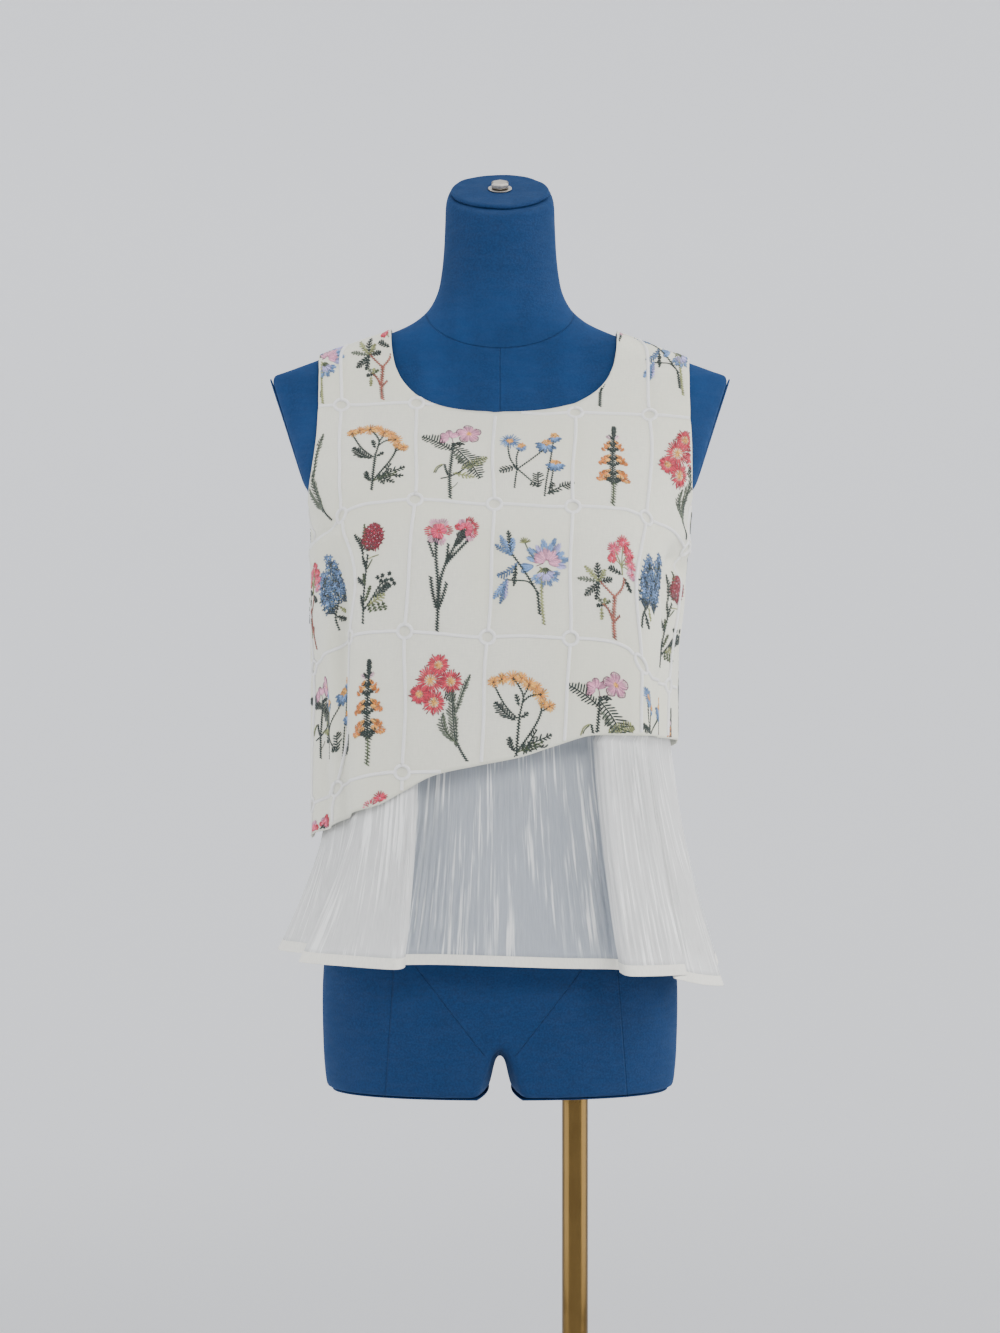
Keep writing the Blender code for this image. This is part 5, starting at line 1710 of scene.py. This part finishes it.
# Dress form, in millimetres
ARM_TOP_X = 200.0
ARM_TOP_Z = 1326.0
ARM_SLOPE = 1.0 / 3.0
ARM_FOOT_Z = 1191.0
ARM_PLATE = 1.2
PLATE_INSET = 5.0
NECK_TOP_FRONT = (-49.0, 1467.0)
NECK_TOP_SLOPE = 0.5
NOTCH_HALF_WIDTH = 9.0
NOTCH_HEIGHT = 33.0
NOTCH_SPREAD = 1.35
NOTCH_RISE = 0.45
NOTCH_REACH = 150.0
THIGH_PLATE = 1.2
FORM_FOOT_Z = 711.0
CAP_HALF_WIDTH = 43.0
CAP_HALF_DEPTH = 44.0
CAP_THICKNESS = 3.5
POLE_X = 65.5
POLE_RADIUS = 11.5
POLE_IN_FORM = 60.0
FOOT_THICKNESS = 9.0
SOCKET_SIDES = 48
POLE_SIDES = 72
FIGURE_SIDES = 132
FIGURE_STEP = 7.0
# Rings of the figure's table between these heights keep their exact place.
SHOULDER_RINGS = (1300, 1400)
ARM_BLOCK_DEPTH = 400.0
ARM_BLOCK_REACH = 60.0
THIGH_SEAM_GAP = 2.0
# In metres: the heights of two seams, the remade cover's faces and the rounded edges.
NECK_SEAM = 1.386
THIGH_SEAM_TOP = 0.93
COVER_VOXEL = 0.0034
COVER_ROUNDS = 13
PLATE_EDGE = 0.0004
POLE_EDGE = 0.0006
BEVEL_DEGREES = 40
SHARP_DEGREES = 50


def finished(name, work):
    mesh = bpy.data.meshes.new(name)
    work.to_mesh(mesh)
    work.free()
    return mesh


def figure_mesh(name, inset=0.0):
    """The whole figure as one closed loft, from the thigh ends to above the neck, slimmer by an inset."""
    low, high = FIGURE[0].z, FIGURE[-1].z
    heights = {row.z for row in FIGURE if SHOULDER_RINGS[0] < row.z < SHOULDER_RINGS[1]}
    heights |= set(np.linspace(low, high, round((high - low) / FIGURE_STEP)))
    heights = np.array(sorted(heights))
    angle = np.linspace(0, math.tau, FIGURE_SIDES, endpoint=False) + math.pi / FIGURE_SIDES
    *reaches, fullness = (size[:, None] for size in ring_sizes(FIGURE, heights))
    x, y = ring_xy([*(reach - inset for reach in reaches), fullness], angle[None, :])
    points = np.stack([x, y, np.broadcast_to(heights[:, None], x.shape)]).reshape(3, -1).T * MM
    work = bmesh.new()
    corners = [work.verts.new(p) for p in points]
    for level in range(len(heights) - 1):
        for side in range(FIGURE_SIDES):
            a = level * FIGURE_SIDES + side
            b = level * FIGURE_SIDES + (side + 1) % FIGURE_SIDES
            work.faces.new([corners[k] for k in (a, b, b + FIGURE_SIDES, a + FIGURE_SIDES)])
    work.faces.new(corners[:FIGURE_SIDES][::-1])
    work.faces.new(corners[-FIGURE_SIDES:])
    bmesh.ops.recalc_face_normals(work, faces=work.faces)
    return finished(name, work)


def keep_side(mesh, point, normal):
    """Cuts a closed mesh along a plane and keeps what lies against the normal, closed again."""
    work = bmesh.new()
    work.from_mesh(mesh)
    bmesh.ops.bisect_plane(
        work,
        geom=[*work.verts, *work.edges, *work.faces],
        plane_co=[v * MM for v in point],
        plane_no=normal,
        clear_outer=True,
    )
    rim = [edge for edge in work.edges if edge.is_boundary]
    bmesh.ops.holes_fill(work, edges=rim, sides=0)
    bmesh.ops.recalc_face_normals(work, faces=work.faces)
    work.to_mesh(mesh)
    work.free()
    return mesh


def block_mesh(name, size, turn, centre):
    """A box of that size, turned about Y by turn and moved to centre."""
    work = bmesh.new()
    bmesh.ops.create_cube(work, size=1)
    for vert in work.verts:
        x, y, z = (c * s for c, s in zip(vert.co, size))
        vert.co = (
            (x * math.cos(turn) + z * math.sin(turn) + centre[0]) * MM,
            (y + centre[1]) * MM,
            (z * math.cos(turn) - x * math.sin(turn) + centre[2]) * MM,
        )
    return finished(name, work)


def arm_block(name, side, near, far, foot_z):
    """A block outside the arm plane: near and far are its distances from that plane, inwards below 0."""
    lean = math.atan(ARM_SLOPE)
    top_z = ARM_TOP_Z + ARM_BLOCK_REACH
    length = (top_z - foot_z) / math.cos(lean)
    middle_z = (top_z + foot_z) / 2
    plane_x = ARM_TOP_X - (ARM_TOP_Z - middle_z) * ARM_SLOPE
    away = (near + far) / 2
    centre = (side * (plane_x + away * math.cos(lean)), 0, middle_z - away * math.sin(lean))
    return block_mesh(name, (far - near, ARM_BLOCK_DEPTH, length), side * lean, centre)


def notch_mesh(name):
    """The gap between the thighs: a rounded wedge along Y that widens towards the front and the back."""
    work = bmesh.new()
    loops = []
    floor_z = FORM_FOOT_Z - 30
    for y in np.linspace(-NOTCH_REACH, NOTCH_REACH, 25):
        spread = 1 + NOTCH_SPREAD * (y / 100) ** 2
        top = FORM_FOOT_Z + NOTCH_HEIGHT * (1 + NOTCH_RISE * (y / 100) ** 2)
        loop = [(-NOTCH_HALF_WIDTH * spread * 1.5, floor_z)]
        for turn in np.linspace(-math.pi / 2, math.pi / 2, 21):
            x = NOTCH_HALF_WIDTH * spread * math.sin(turn)
            z = FORM_FOOT_Z + 4 + (top - FORM_FOOT_Z - 4) * max(0.0, math.cos(turn)) ** 2.8
            loop.append((x, z))
        loop.append((NOTCH_HALF_WIDTH * spread * 1.5, floor_z))
        loops.append([work.verts.new((x * MM, y * MM, z * MM)) for x, z in loop])
    for near, far in zip(loops, loops[1:]):
        for k in range(len(near)):
            after = (k + 1) % len(near)
            work.faces.new((near[k], near[after], far[after], far[k]))
    work.faces.new(loops[0])
    work.faces.new(loops[-1][::-1])
    bmesh.ops.recalc_face_normals(work, faces=work.faces)
    return finished(name, work)


def rod_mesh(name, radius, low, high, sides, centre_x):
    work = bmesh.new()
    bmesh.ops.create_cone(
        work,
        cap_ends=True,
        segments=sides,
        radius1=radius * MM,
        radius2=radius * MM,
        depth=(high - low) * MM,
    )
    bmesh.ops.translate(work, verts=work.verts, vec=(centre_x * MM, 0, (low + high) / 2 * MM))
    return finished(name, work)


def neck_top():
    """(point, unit normal) of the plane of the neck's top, which rises towards the back."""
    length = math.hypot(NECK_TOP_SLOPE, 1)
    return (0.0, *NECK_TOP_FRONT), (0.0, -NECK_TOP_SLOPE / length, 1 / length)


def cut(obj, mesh, operation="DIFFERENCE"):
    """Cuts a piece with a closed mesh, which is removed afterwards."""
    cutter = bpy.data.objects.new(mesh.name, mesh)
    bpy.context.scene.collection.objects.link(cutter)
    step = obj.modifiers.new("cut", "BOOLEAN")
    step.operation = operation
    step.object = cutter
    made_plain(obj)
    bpy.data.objects.remove(cutter)
    bpy.data.meshes.remove(mesh)


def soften(obj, voxel, rounds):
    """Remakes a solid with even small faces and rounds its edges, as a stretched cover does."""
    remesh = obj.modifiers.new("even", "REMESH")
    remesh.mode = "VOXEL"
    remesh.voxel_size = voxel
    remesh.use_smooth_shade = True
    relax = obj.modifiers.new("relax", "SMOOTH")
    relax.factor = 0.5
    relax.iterations = rounds
    return made_plain(obj)


def round_edges(obj, width):
    add_bevel(obj, width, 3, BEVEL_DEGREES)
    made_plain(obj)
    obj.data.shade_smooth()
    obj.data.set_sharp_from_angle(angle=math.radians(SHARP_DEGREES))
    return obj


def form_suede(colour, seam_width):
    """Blue suede: mottled nap, a fine grain, a pale sheen, and the cover's sewn seams as narrow grooves."""
    gloss = {"Roughness": 0.88, "Specular_IOR_Level": 0.2, "Sheen_Weight": 0.35, "Sheen_Roughness": 0.45}
    finish = Finish("form_suede", **gloss)
    finish.shader.inputs["Sheen Tint"].default_value = (*shade(colour, 2.2), 1)
    place = finish.position()
    x, y, z = finish.axes(place)
    brushed = finish.noise(finish.position(scale=(1, 1, 0.45)), 0.035, 4, 0.6)
    patches = finish.noise(place, 0.12, 2)
    grain = finish.noise(place, 0.0016, 3, 0.6)
    scuffs = finish.noise(finish.position(scale=(0.5, 0.5, 2.0)), 0.011, 3, 0.7)
    front = y.under(0.0)
    neck_foot = ((x * 15.6) ** 2.0 + ((z - NECK_SEAM) * 30.3) ** 2.0) ** 0.5
    # Each seam's distance and where it shows: the middle of front and back, the fronts of both thighs, the
    # groins, and the neck's foot in front and behind.
    lines = [
        (x.abs(), z.under(1.353) * (z.over(0.95) + y.over(0.0))),
        ((x + 0.0908 - (z - 0.811) * 0.068).abs(), front * z.under(THIGH_SEAM_TOP)),
        ((x - 0.1037 + (z - 0.77) * 0.08).abs(), front * z.under(THIGH_SEAM_TOP)),
        (((x.abs() - 0.0659) * 0.79 - (z - 0.8182) * 0.613).abs(), front * z.over(0.75) * z.under(0.87)),
        ((neck_foot - 1).abs() * 0.04, front * z.under(NECK_SEAM)),
        ((z - NECK_SEAM - y * 0.15).abs(), 1 - front),
    ]
    groove = None
    for away, where in lines:
        line = away.ramp(0.0, seam_width, 1.0, 0.0) * where
        groove = line if groove is None else groove + line
    nap = (brushed * 0.6 + patches * 0.4).ramp(0.36, 0.64)
    cover = finish.mix(nap, shade(colour, 0.8), shade(colour, 1.14))
    # Painted shade: the suede is painted darker on the neck and the thighs, which less light reaches.
    painted_shade_neck_thighs = z.ramp(1.36, 1.43) + z.ramp(0.8, 0.87, 1.0, 0.0)
    cover = finish.mix(painted_shade_neck_thighs * 0.8, cover, shade(colour, 0.62))
    fine = finish.mix(grain.ramp(0.3, 0.7, 0.0, 0.35), cover, shade(colour, 1.5))
    finish.set("Base Color", finish.mix(groove.least(1.0) * 0.32, fine, shade(colour, 0.4)))
    finish.set("Roughness", scuffs.ramp(0.35, 0.7, 0.92, 0.8))
    return finish.bump(grain * 0.35 + scuffs * 0.35 - groove * 1.1, 0.0007, 0.8)


def brushed_metal(name, colour, roughness, grain_scale):
    """Turned metal with fine lines round it, and slight smudges."""
    finish = Finish(name, Metallic=1.0, Roughness=roughness)
    lines = finish.noise(finish.position(scale=grain_scale), 0.0009, 2)
    smudges = finish.noise(finish.position(), 0.03, 3)
    finish.set("Base Color", finish.mix(smudges.ramp(0.35, 0.65), shade(colour, 0.9), colour))
    finish.set("Roughness", lines * 0.08 + smudges.ramp(0.35, 0.7, roughness - 0.05, roughness + 0.06))
    return finish.bump(lines, 0.00006, 0.5)


def add_form(finish):
    """The suede-covered form: torso with neck, arm plates and thigh plates, which stand for the CAD nodes."""
    made = []
    torso = figure_mesh("suede_torso")
    keep_side(torso, *neck_top())
    keep_side(torso, (0, 0, FORM_FOOT_Z + THIGH_PLATE + SEAM_GAP), (0, 0, -1))
    torso_obj = add_piece("suede_torso", torso, finish)
    cut(torso_obj, notch_mesh("notch"))
    low, high = FORM_FOOT_Z - 20, FORM_FOOT_Z + POLE_IN_FORM + SEAM_GAP
    cut(torso_obj, rod_mesh("socket", POLE_RADIUS + SEAM_GAP, low, high, SOCKET_SIDES, POLE_X))
    for side in (-1, 1):
        cut(torso_obj, arm_block("arm", side, -ARM_PLATE - SEAM_GAP, ARM_BLOCK_REACH, ARM_FOOT_Z))
    made.append((soften(torso_obj, COVER_VOXEL, COVER_ROUNDS), "form_torso", "form_neck"))
    for side, word in ((-1, "right"), (1, "left")):
        obj = add_piece(f"suede_arm_plate_{word}", figure_mesh("arm_plate", PLATE_INSET), finish)
        slab = arm_block("slab", side, -ARM_PLATE, 0, ARM_FOOT_Z + PLATE_INSET)
        cut(obj, slab, "INTERSECT")
        made.append((round_edges(obj, PLATE_EDGE), f"arm_plate_{word}"))
        plate = figure_mesh("thigh_plate", PLATE_INSET)
        keep_side(plate, (0, 0, FORM_FOOT_Z + THIGH_PLATE), (0, 0, 1))
        keep_side(plate, (side * THIGH_SEAM_GAP, 0, FORM_FOOT_Z), (-side, 0, 0))
        obj = add_piece(f"suede_thigh_plate_{word}", plate, finish)
        cut(obj, notch_mesh("notch"))
        if side > 0:
            cut(obj, rod_mesh("socket", POLE_RADIUS + SEAM_GAP, low, high, SOCKET_SIDES, POLE_X))
        made.append((round_edges(obj, PLATE_EDGE), f"thigh_plate_{word}"))
    for obj, *nodes in made:
        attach(obj, "root")
        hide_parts(*nodes)


def cap_mesh(name, around=96, rings=14):
    """The fabric-covered disc on the slanting neck top, its front edge a little wavy and drooping."""
    tilt = math.atan(NECK_TOP_SLOPE)
    middle_z = NECK_TOP_FRONT[1] - NECK_TOP_FRONT[0] * NECK_TOP_SLOPE
    points, loops = [], []
    profile = [(r, CAP_THICKNESS) for r in np.linspace(0.02, 0.955, rings)]
    profile += [(0.985, CAP_THICKNESS - 0.5), (1.0, CAP_THICKNESS - 1.4), (1.0, 1.2), (0.985, 0.3)]
    profile += [(0.9, 0.0), (0.5, 0.0), (0.02, 0.0)]
    for reach, rise in profile:
        loop = []
        for k in range(around):
            turn = k / around * math.tau
            wave = 1 + 0.006 * math.sin(5 * turn + 0.8) + 0.005 * math.sin(11 * turn)
            x = CAP_HALF_WIDTH * reach * wave * math.sin(turn)
            y = -CAP_HALF_DEPTH * reach * wave * math.cos(turn)
            front = max(0.0, math.cos(turn)) ** 2 * reach**6
            pucker = 0.25 * math.sin(7 * turn + 2 * math.sin(3 * turn)) * reach**3
            height = SEAM_GAP + rise + pucker * (rise > 2) - front * 0.3 * (1 + math.sin(6 * turn))
            loop.append(len(points))
            tilted_y = y * math.cos(tilt) - height * math.sin(tilt)
            tilted_z = y * math.sin(tilt) + height * math.cos(tilt)
            points.append((x * MM, tilted_y * MM, (tilted_z + middle_z) * MM))
        loops.append(loop)
    faces = [loops[0][::-1], loops[-1]]
    for near, far in zip(loops, loops[1:]):
        faces += [(near[k], near[(k + 1) % around], far[(k + 1) % around], far[k]) for k in range(around)]
    mesh = face_outwards(mesh_of(name, points, faces=faces))
    mesh.shade_smooth()
    return mesh


def add_pole(finish):
    """The brass pole as a smooth tube with eased ends."""
    low, high = FOOT_THICKNESS + SEAM_GAP, FORM_FOOT_Z + POLE_IN_FORM
    rod = rod_mesh("brass_pole", POLE_RADIUS, low, high, POLE_SIDES, POLE_X)
    obj = add_piece("brass_pole", rod, finish)
    round_edges(obj, POLE_EDGE)
    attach(obj, "root")
    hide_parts("stand_pole")
    return obj


def give_finish(node, finish):
    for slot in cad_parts[node].material_slots:
        slot.material = finish


def length_setting(name, description, default, low=0.0001, high=1.0):
    return bpy.props.FloatProperty(
        name=name,
        description=description,
        default=default,
        min=low,
        max=high,
        precision=5,
        unit="LENGTH",
        subtype="DISTANCE",
    )


def colour_setting(name, description, default):
    return bpy.props.FloatVectorProperty(
        name=name,
        description=description,
        default=default,
        size=3,
        min=0.0,
        max=1.0,
        subtype="COLOR",
    )


def share_setting(name, description, default, low=0.0, high=1.0):
    return bpy.props.FloatProperty(
        name=name, description=description, default=default, min=low, max=high, subtype="FACTOR"
    )


class BodiceSettings(bpy.types.PropertyGroup):
    """Sizes and colours of the embroidered bodice."""

    wall: length_setting("Cloth thickness", "Thickness of the bodice cloth", 0.0012)
    cloth: colour_setting("Cloth colour", "Colour of the plain weave", (0.79, 0.783, 0.665))
    cord: length_setting("Cord radius", "Radius of the raised cords of the grid", 0.0016)
    cord_colour: colour_setting("Cord colour", "Colour of the cords' thread", (1.0, 0.99, 0.965))


class SprigSettings(bpy.types.PropertyGroup):
    """Colours of the embroidery threads."""

    pine: colour_setting("Dark green", "Thread of stems and most leaves", (0.012, 0.026, 0.02))
    moss: colour_setting("Moss green", "Thread of smaller leaves", (0.06, 0.085, 0.035))
    olive: colour_setting("Olive", "Thread of the pale leaves", (0.29, 0.31, 0.12))
    grey_green: colour_setting("Grey green", "Thread of the long leaves", (0.12, 0.145, 0.1))
    orange: colour_setting("Orange", "Thread of umbels, bells and hearts", (0.88, 0.4, 0.085))
    amber: colour_setting("Amber", "Darker orange thread", (0.72, 0.23, 0.035))
    pink: colour_setting("Pink", "Thread of the pink petals", (0.74, 0.33, 0.47))
    pale_pink: colour_setting("Pale pink", "Thread of the lightest petals", (0.82, 0.56, 0.62))
    plum: colour_setting("Plum", "Thread of the petals' outlines", (0.16, 0.04, 0.09))
    blue: colour_setting("Blue", "Thread of the blue petals", (0.17, 0.31, 0.58))
    steel_blue: colour_setting("Steel blue", "Darker blue thread", (0.09, 0.17, 0.32))
    navy: colour_setting("Navy", "Darkest blue thread", (0.035, 0.065, 0.13))
    lavender: colour_setting("Lavender", "Thread between blue and pink", (0.42, 0.4, 0.7))
    red: colour_setting("Red", "Thread of the red flowers", (0.6, 0.03, 0.07))
    coral: colour_setting("Coral", "Lighter red thread", (0.75, 0.13, 0.09))
    wine: colour_setting("Wine red", "Darkest red thread", (0.2, 0.01, 0.025))
    rose: colour_setting("Rose", "Thread of the carnations", (0.76, 0.1, 0.19))
    brown: colour_setting("Brown", "Thread of the forked branch", (0.34, 0.1, 0.065))


class PeplumSettings(bpy.types.PropertyGroup):
    """Sizes and colours of the sheer peplum."""

    wall: length_setting("Cloth thickness", "Thickness of the sheer cloth", 0.0007)
    band: length_setting("Hem thickness", "Thickness of the folded hem", 0.0016)
    ripple: length_setting("Crinkle depth", "How far the small crinkles stand in and out", 0.001)
    cloth: colour_setting("Cloth colour", "Colour of the sheer cloth", (0.92, 0.92, 0.9))
    band_colour: colour_setting("Hem colour", "Colour of the folded hem", (0.89, 0.87, 0.78))
    opacity: share_setting("Opacity", "How much one face of the sheer cloth hides", 0.4)


class FormSettings(bpy.types.PropertyGroup):
    """Sizes and colours of the dress form."""

    suede: colour_setting("Suede colour", "Colour of the form's cover", (0.0072, 0.036, 0.113))
    seam: length_setting("Seam width", "Half the width of the cover's seam grooves", 0.0009)


class StandSettings(bpy.types.PropertyGroup):
    """Colours of the metal pieces."""

    brass: colour_setting("Brass colour", "Colour of the pole, collar and foot", (0.15, 0.093, 0.031))
    steel: colour_setting("Nut colour", "Colour of the nut and washer on the neck cap", (0.45, 0.42, 0.38))


class StageSettings(bpy.types.PropertyGroup):
    """Camera, lights and backdrop."""

    camera_distance: length_setting("Camera distance", "Distance of the camera in front", 2.75, 0.5, 10.0)
    camera_height: length_setting("Camera height", "Height of the camera above the floor", 1.0785, 0.0, 5.0)
    wall_colour: colour_setting("Backdrop colour", "Colour of the floor and backdrop", (0.86, 0.865, 0.885))


class TOP_OT_bodice(bpy.types.Operator):
    """Makes the front and back bodice cloth with its grid of raised cords"""

    bl_idname = "sleeveless_top.bodice"
    bl_label = "Bodice"

    def execute(self, context):
        settings = context.scene.top_bodice
        cloth = bodice_cloth(settings.cloth)
        thread = cord_thread(settings.cord_colour)
        for panel in (FRONT, BACK):
            add_bodice(panel, settings.wall, cloth)
            add_cords(panel, edge_of(panel), settings.cord, thread)
        return {"FINISHED"}


class TOP_OT_sprigs(bpy.types.Operator):
    """Sews the flower sprigs on the front and back bodice"""

    bl_idname = "sleeveless_top.sprigs"
    bl_label = "Sprigs"

    def execute(self, context):
        settings = context.scene.top_sprigs
        threads = {name: tuple(getattr(settings, name)) for name in SprigSettings.__annotations__}
        finish = sprig_thread()
        for panel in (FRONT, BACK):
            add_sprigs(panel, edge_of(panel), threads, finish)
        return {"FINISHED"}


class TOP_OT_peplum(bpy.types.Operator):
    """Makes the sheer gathered peplum with its folded hem"""

    bl_idname = "sleeveless_top.peplum"
    bl_label = "Peplum"

    def execute(self, context):
        settings = context.scene.top_peplum
        sheer = sheer_crinkle(settings.cloth, settings.opacity)
        band = hem_band_cloth(settings.band_colour)
        for panel in (FRONT, BACK):
            add_peplum(panel, settings.wall, settings.band, settings.ripple, sheer, band)
        return {"FINISHED"}


class TOP_OT_form(bpy.types.Operator):
    """Makes the suede-covered dress form and its neck cap"""

    bl_idname = "sleeveless_top.form"
    bl_label = "Dress form"

    def execute(self, context):
        settings = context.scene.top_form
        suede = form_suede(settings.suede, settings.seam)
        add_form(suede)
        cap = add_piece("suede_neck_cap", cap_mesh("suede_neck_cap"), suede)
        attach(cap, "root")
        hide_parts("neck_cap")
        return {"FINISHED"}


class TOP_OT_stand(bpy.types.Operator):
    """Makes the brass pole and gives the metal pieces their finish"""

    bl_idname = "sleeveless_top.stand"
    bl_label = "Stand"

    def execute(self, context):
        settings = context.scene.top_stand
        brass = brushed_metal("stand_brass", settings.brass, 0.13, (1, 1, 0.02))
        steel = brushed_metal("cap_metal", settings.steel, 0.32, (1, 1, 1))
        add_pole(brass)
        for node in ("stand_foot", "stand_collar"):
            give_finish(node, brass)
        for node in ("cap_nut", "cap_washer"):
            give_finish(node, steel)
        return {"FINISHED"}


# Stage, in metres
WALL_RADIUS = 7.0
WALL_COVE = 2.4
WALL_TOP = 4.4
WALL_SIDES = 96
WALL_GLOW = (0.4, 0.408, 0.426)
SKY_COLOUR = (0.88, 0.9, 0.94)
SKY_STRENGTH = 0.37
LENS_MM = 85
SENSOR_MM = 36
Lamp = namedtuple("Lamp", "name place aim size power colour")
LAMPS = (
    Lamp("key", (0.9, -2.2, 2.7), (0, 0, 1.0), (1.0, 1.0), 45, (1.0, 0.998, 0.985)),
    Lamp("right", (2.4, -0.35, 1.3), (0, 0, 1.0), (2.3, 2.2), 40, (1.0, 0.995, 0.985)),
    Lamp("left", (-2.4, -0.35, 1.3), (0, 0, 1.0), (2.3, 2.2), 34, (0.97, 0.985, 1.0)),
    Lamp("top", (0.2, 0.3, 3.4), (0, 0.4, 1.0), (2.4, 2.0), 38, (1.0, 1.0, 1.0)),
)


def backdrop_finish(colour):
    """Matt paper; the wall glows a little, as if it had lamps of its own."""
    finish = Finish("backdrop", Roughness=0.9, Emission_Strength=1.0)
    x, y, _ = finish.axes(finish.position())
    finish.shader.inputs["Base Color"].default_value = (*colour, 1)
    far = ((x**2.0 + y**2.0) ** 0.5).ramp(1.0, 4.6)
    finish.set("Emission Color", finish.mix(far, (0.0, 0.0, 0.0), WALL_GLOW))
    return finish.material


def add_backdrop(colour):
    """A round pale floor that rises all round, far from the form, in one soft curve into a wall."""
    flat = WALL_RADIUS - WALL_COVE
    profile = [(0.6, 0.0), (2.0, 0.0), (flat, 0.0)]
    for t in np.linspace(0, math.pi / 2, 17)[1:]:
        profile.append((flat + WALL_COVE * math.sin(t), WALL_COVE - WALL_COVE * math.cos(t)))
    profile.append((WALL_RADIUS, WALL_TOP))
    points, faces = [(0.0, 0.0, 0.0)], []
    for k in range(WALL_SIDES):
        turn = math.tau * k / WALL_SIDES
        points += [(r * math.sin(turn), r * math.cos(turn), z) for r, z in profile]
    for k in range(WALL_SIDES):
        near, far = 1 + k * len(profile), 1 + (k + 1) % WALL_SIDES * len(profile)
        faces.append((0, far, near))
        faces += [(near + n, far + n, far + n + 1, near + n + 1) for n in range(len(profile) - 1)]
    mesh = mesh_of("backdrop", points, faces=faces)
    mesh.shade_smooth()
    obj = add_piece("backdrop", mesh, backdrop_finish(colour))
    return obj


def add_light(lamp):
    light = bpy.data.lights.new(lamp.name, "AREA")
    light.shape = "RECTANGLE"
    light.size, light.size_y = lamp.size
    light.energy = lamp.power
    light.color = lamp.colour
    obj = bpy.data.objects.new(lamp.name, light)
    obj.location = lamp.place
    obj.rotation_euler = (Vector(lamp.aim) - Vector(lamp.place)).to_track_quat("-Z", "Y").to_euler()
    obj.visible_camera = False
    bpy.context.scene.collection.objects.link(obj)
    return obj


class TOP_OT_stage(bpy.types.Operator):
    """Makes the floor, the backdrop, the lights and the camera"""

    bl_idname = "sleeveless_top.stage"
    bl_label = "Stage"

    def execute(self, context):
        settings = context.scene.top_stage
        add_backdrop(settings.wall_colour)
        for lamp in LAMPS:
            add_light(lamp)
        world = bpy.data.worlds.new("studio")
        world.use_nodes = True
        sky = world.node_tree.nodes["Background"]
        sky.inputs["Color"].default_value = (*SKY_COLOUR, 1)
        sky.inputs["Strength"].default_value = SKY_STRENGTH
        context.scene.world = world
        camera = bpy.data.cameras.new("camera")
        camera.lens = LENS_MM
        camera.sensor_width = SENSOR_MM
        obj = bpy.data.objects.new("camera", camera)
        obj.location = (0, -settings.camera_distance, settings.camera_height)
        obj.rotation_euler = (math.pi / 2, 0, 0)
        context.scene.collection.objects.link(obj)
        context.scene.camera = obj
        return {"FINISHED"}


class TOP_PT_panel(bpy.types.Panel):
    """Lists the pieces and their settings"""

    bl_idname = "TOP_PT_panel"
    bl_label = "Sleeveless top"
    bl_space_type = "VIEW_3D"
    bl_region_type = "UI"
    bl_category = "Top"

    def draw(self, context):
        for settings_name, _, operators in PIECES:
            box = self.layout.box()
            settings = getattr(context.scene, settings_name)
            for operator in operators:
                box.operator(operator.bl_idname)
            for key in settings.bl_rna.properties.keys():
                if key not in {"rna_type", "name"}:
                    box.prop(settings, key)


PIECES = (
    ("top_bodice", BodiceSettings, (TOP_OT_bodice,)),
    ("top_sprigs", SprigSettings, (TOP_OT_sprigs,)),
    ("top_peplum", PeplumSettings, (TOP_OT_peplum,)),
    ("top_form", FormSettings, (TOP_OT_form,)),
    ("top_stand", StandSettings, (TOP_OT_stand,)),
    ("top_stage", StageSettings, (TOP_OT_stage,)),
)


def register():
    for name, settings, operators in PIECES:
        bpy.utils.register_class(settings)
        setattr(bpy.types.Scene, name, bpy.props.PointerProperty(type=settings))
        for operator in operators:
            bpy.utils.register_class(operator)
    bpy.utils.register_class(TOP_PT_panel)


def unregister():
    bpy.utils.unregister_class(TOP_PT_panel)
    for name, settings, operators in reversed(PIECES):
        for operator in operators:
            bpy.utils.unregister_class(operator)
        delattr(bpy.types.Scene, name)
        bpy.utils.unregister_class(settings)


def main():
    register()
    bpy.ops.sleeveless_top.stage()
    bpy.ops.sleeveless_top.bodice()
    bpy.ops.sleeveless_top.sprigs()
    bpy.ops.sleeveless_top.peplum()
    bpy.ops.sleeveless_top.form()
    bpy.ops.sleeveless_top.stand()


if __name__ == "__main__":
    main()
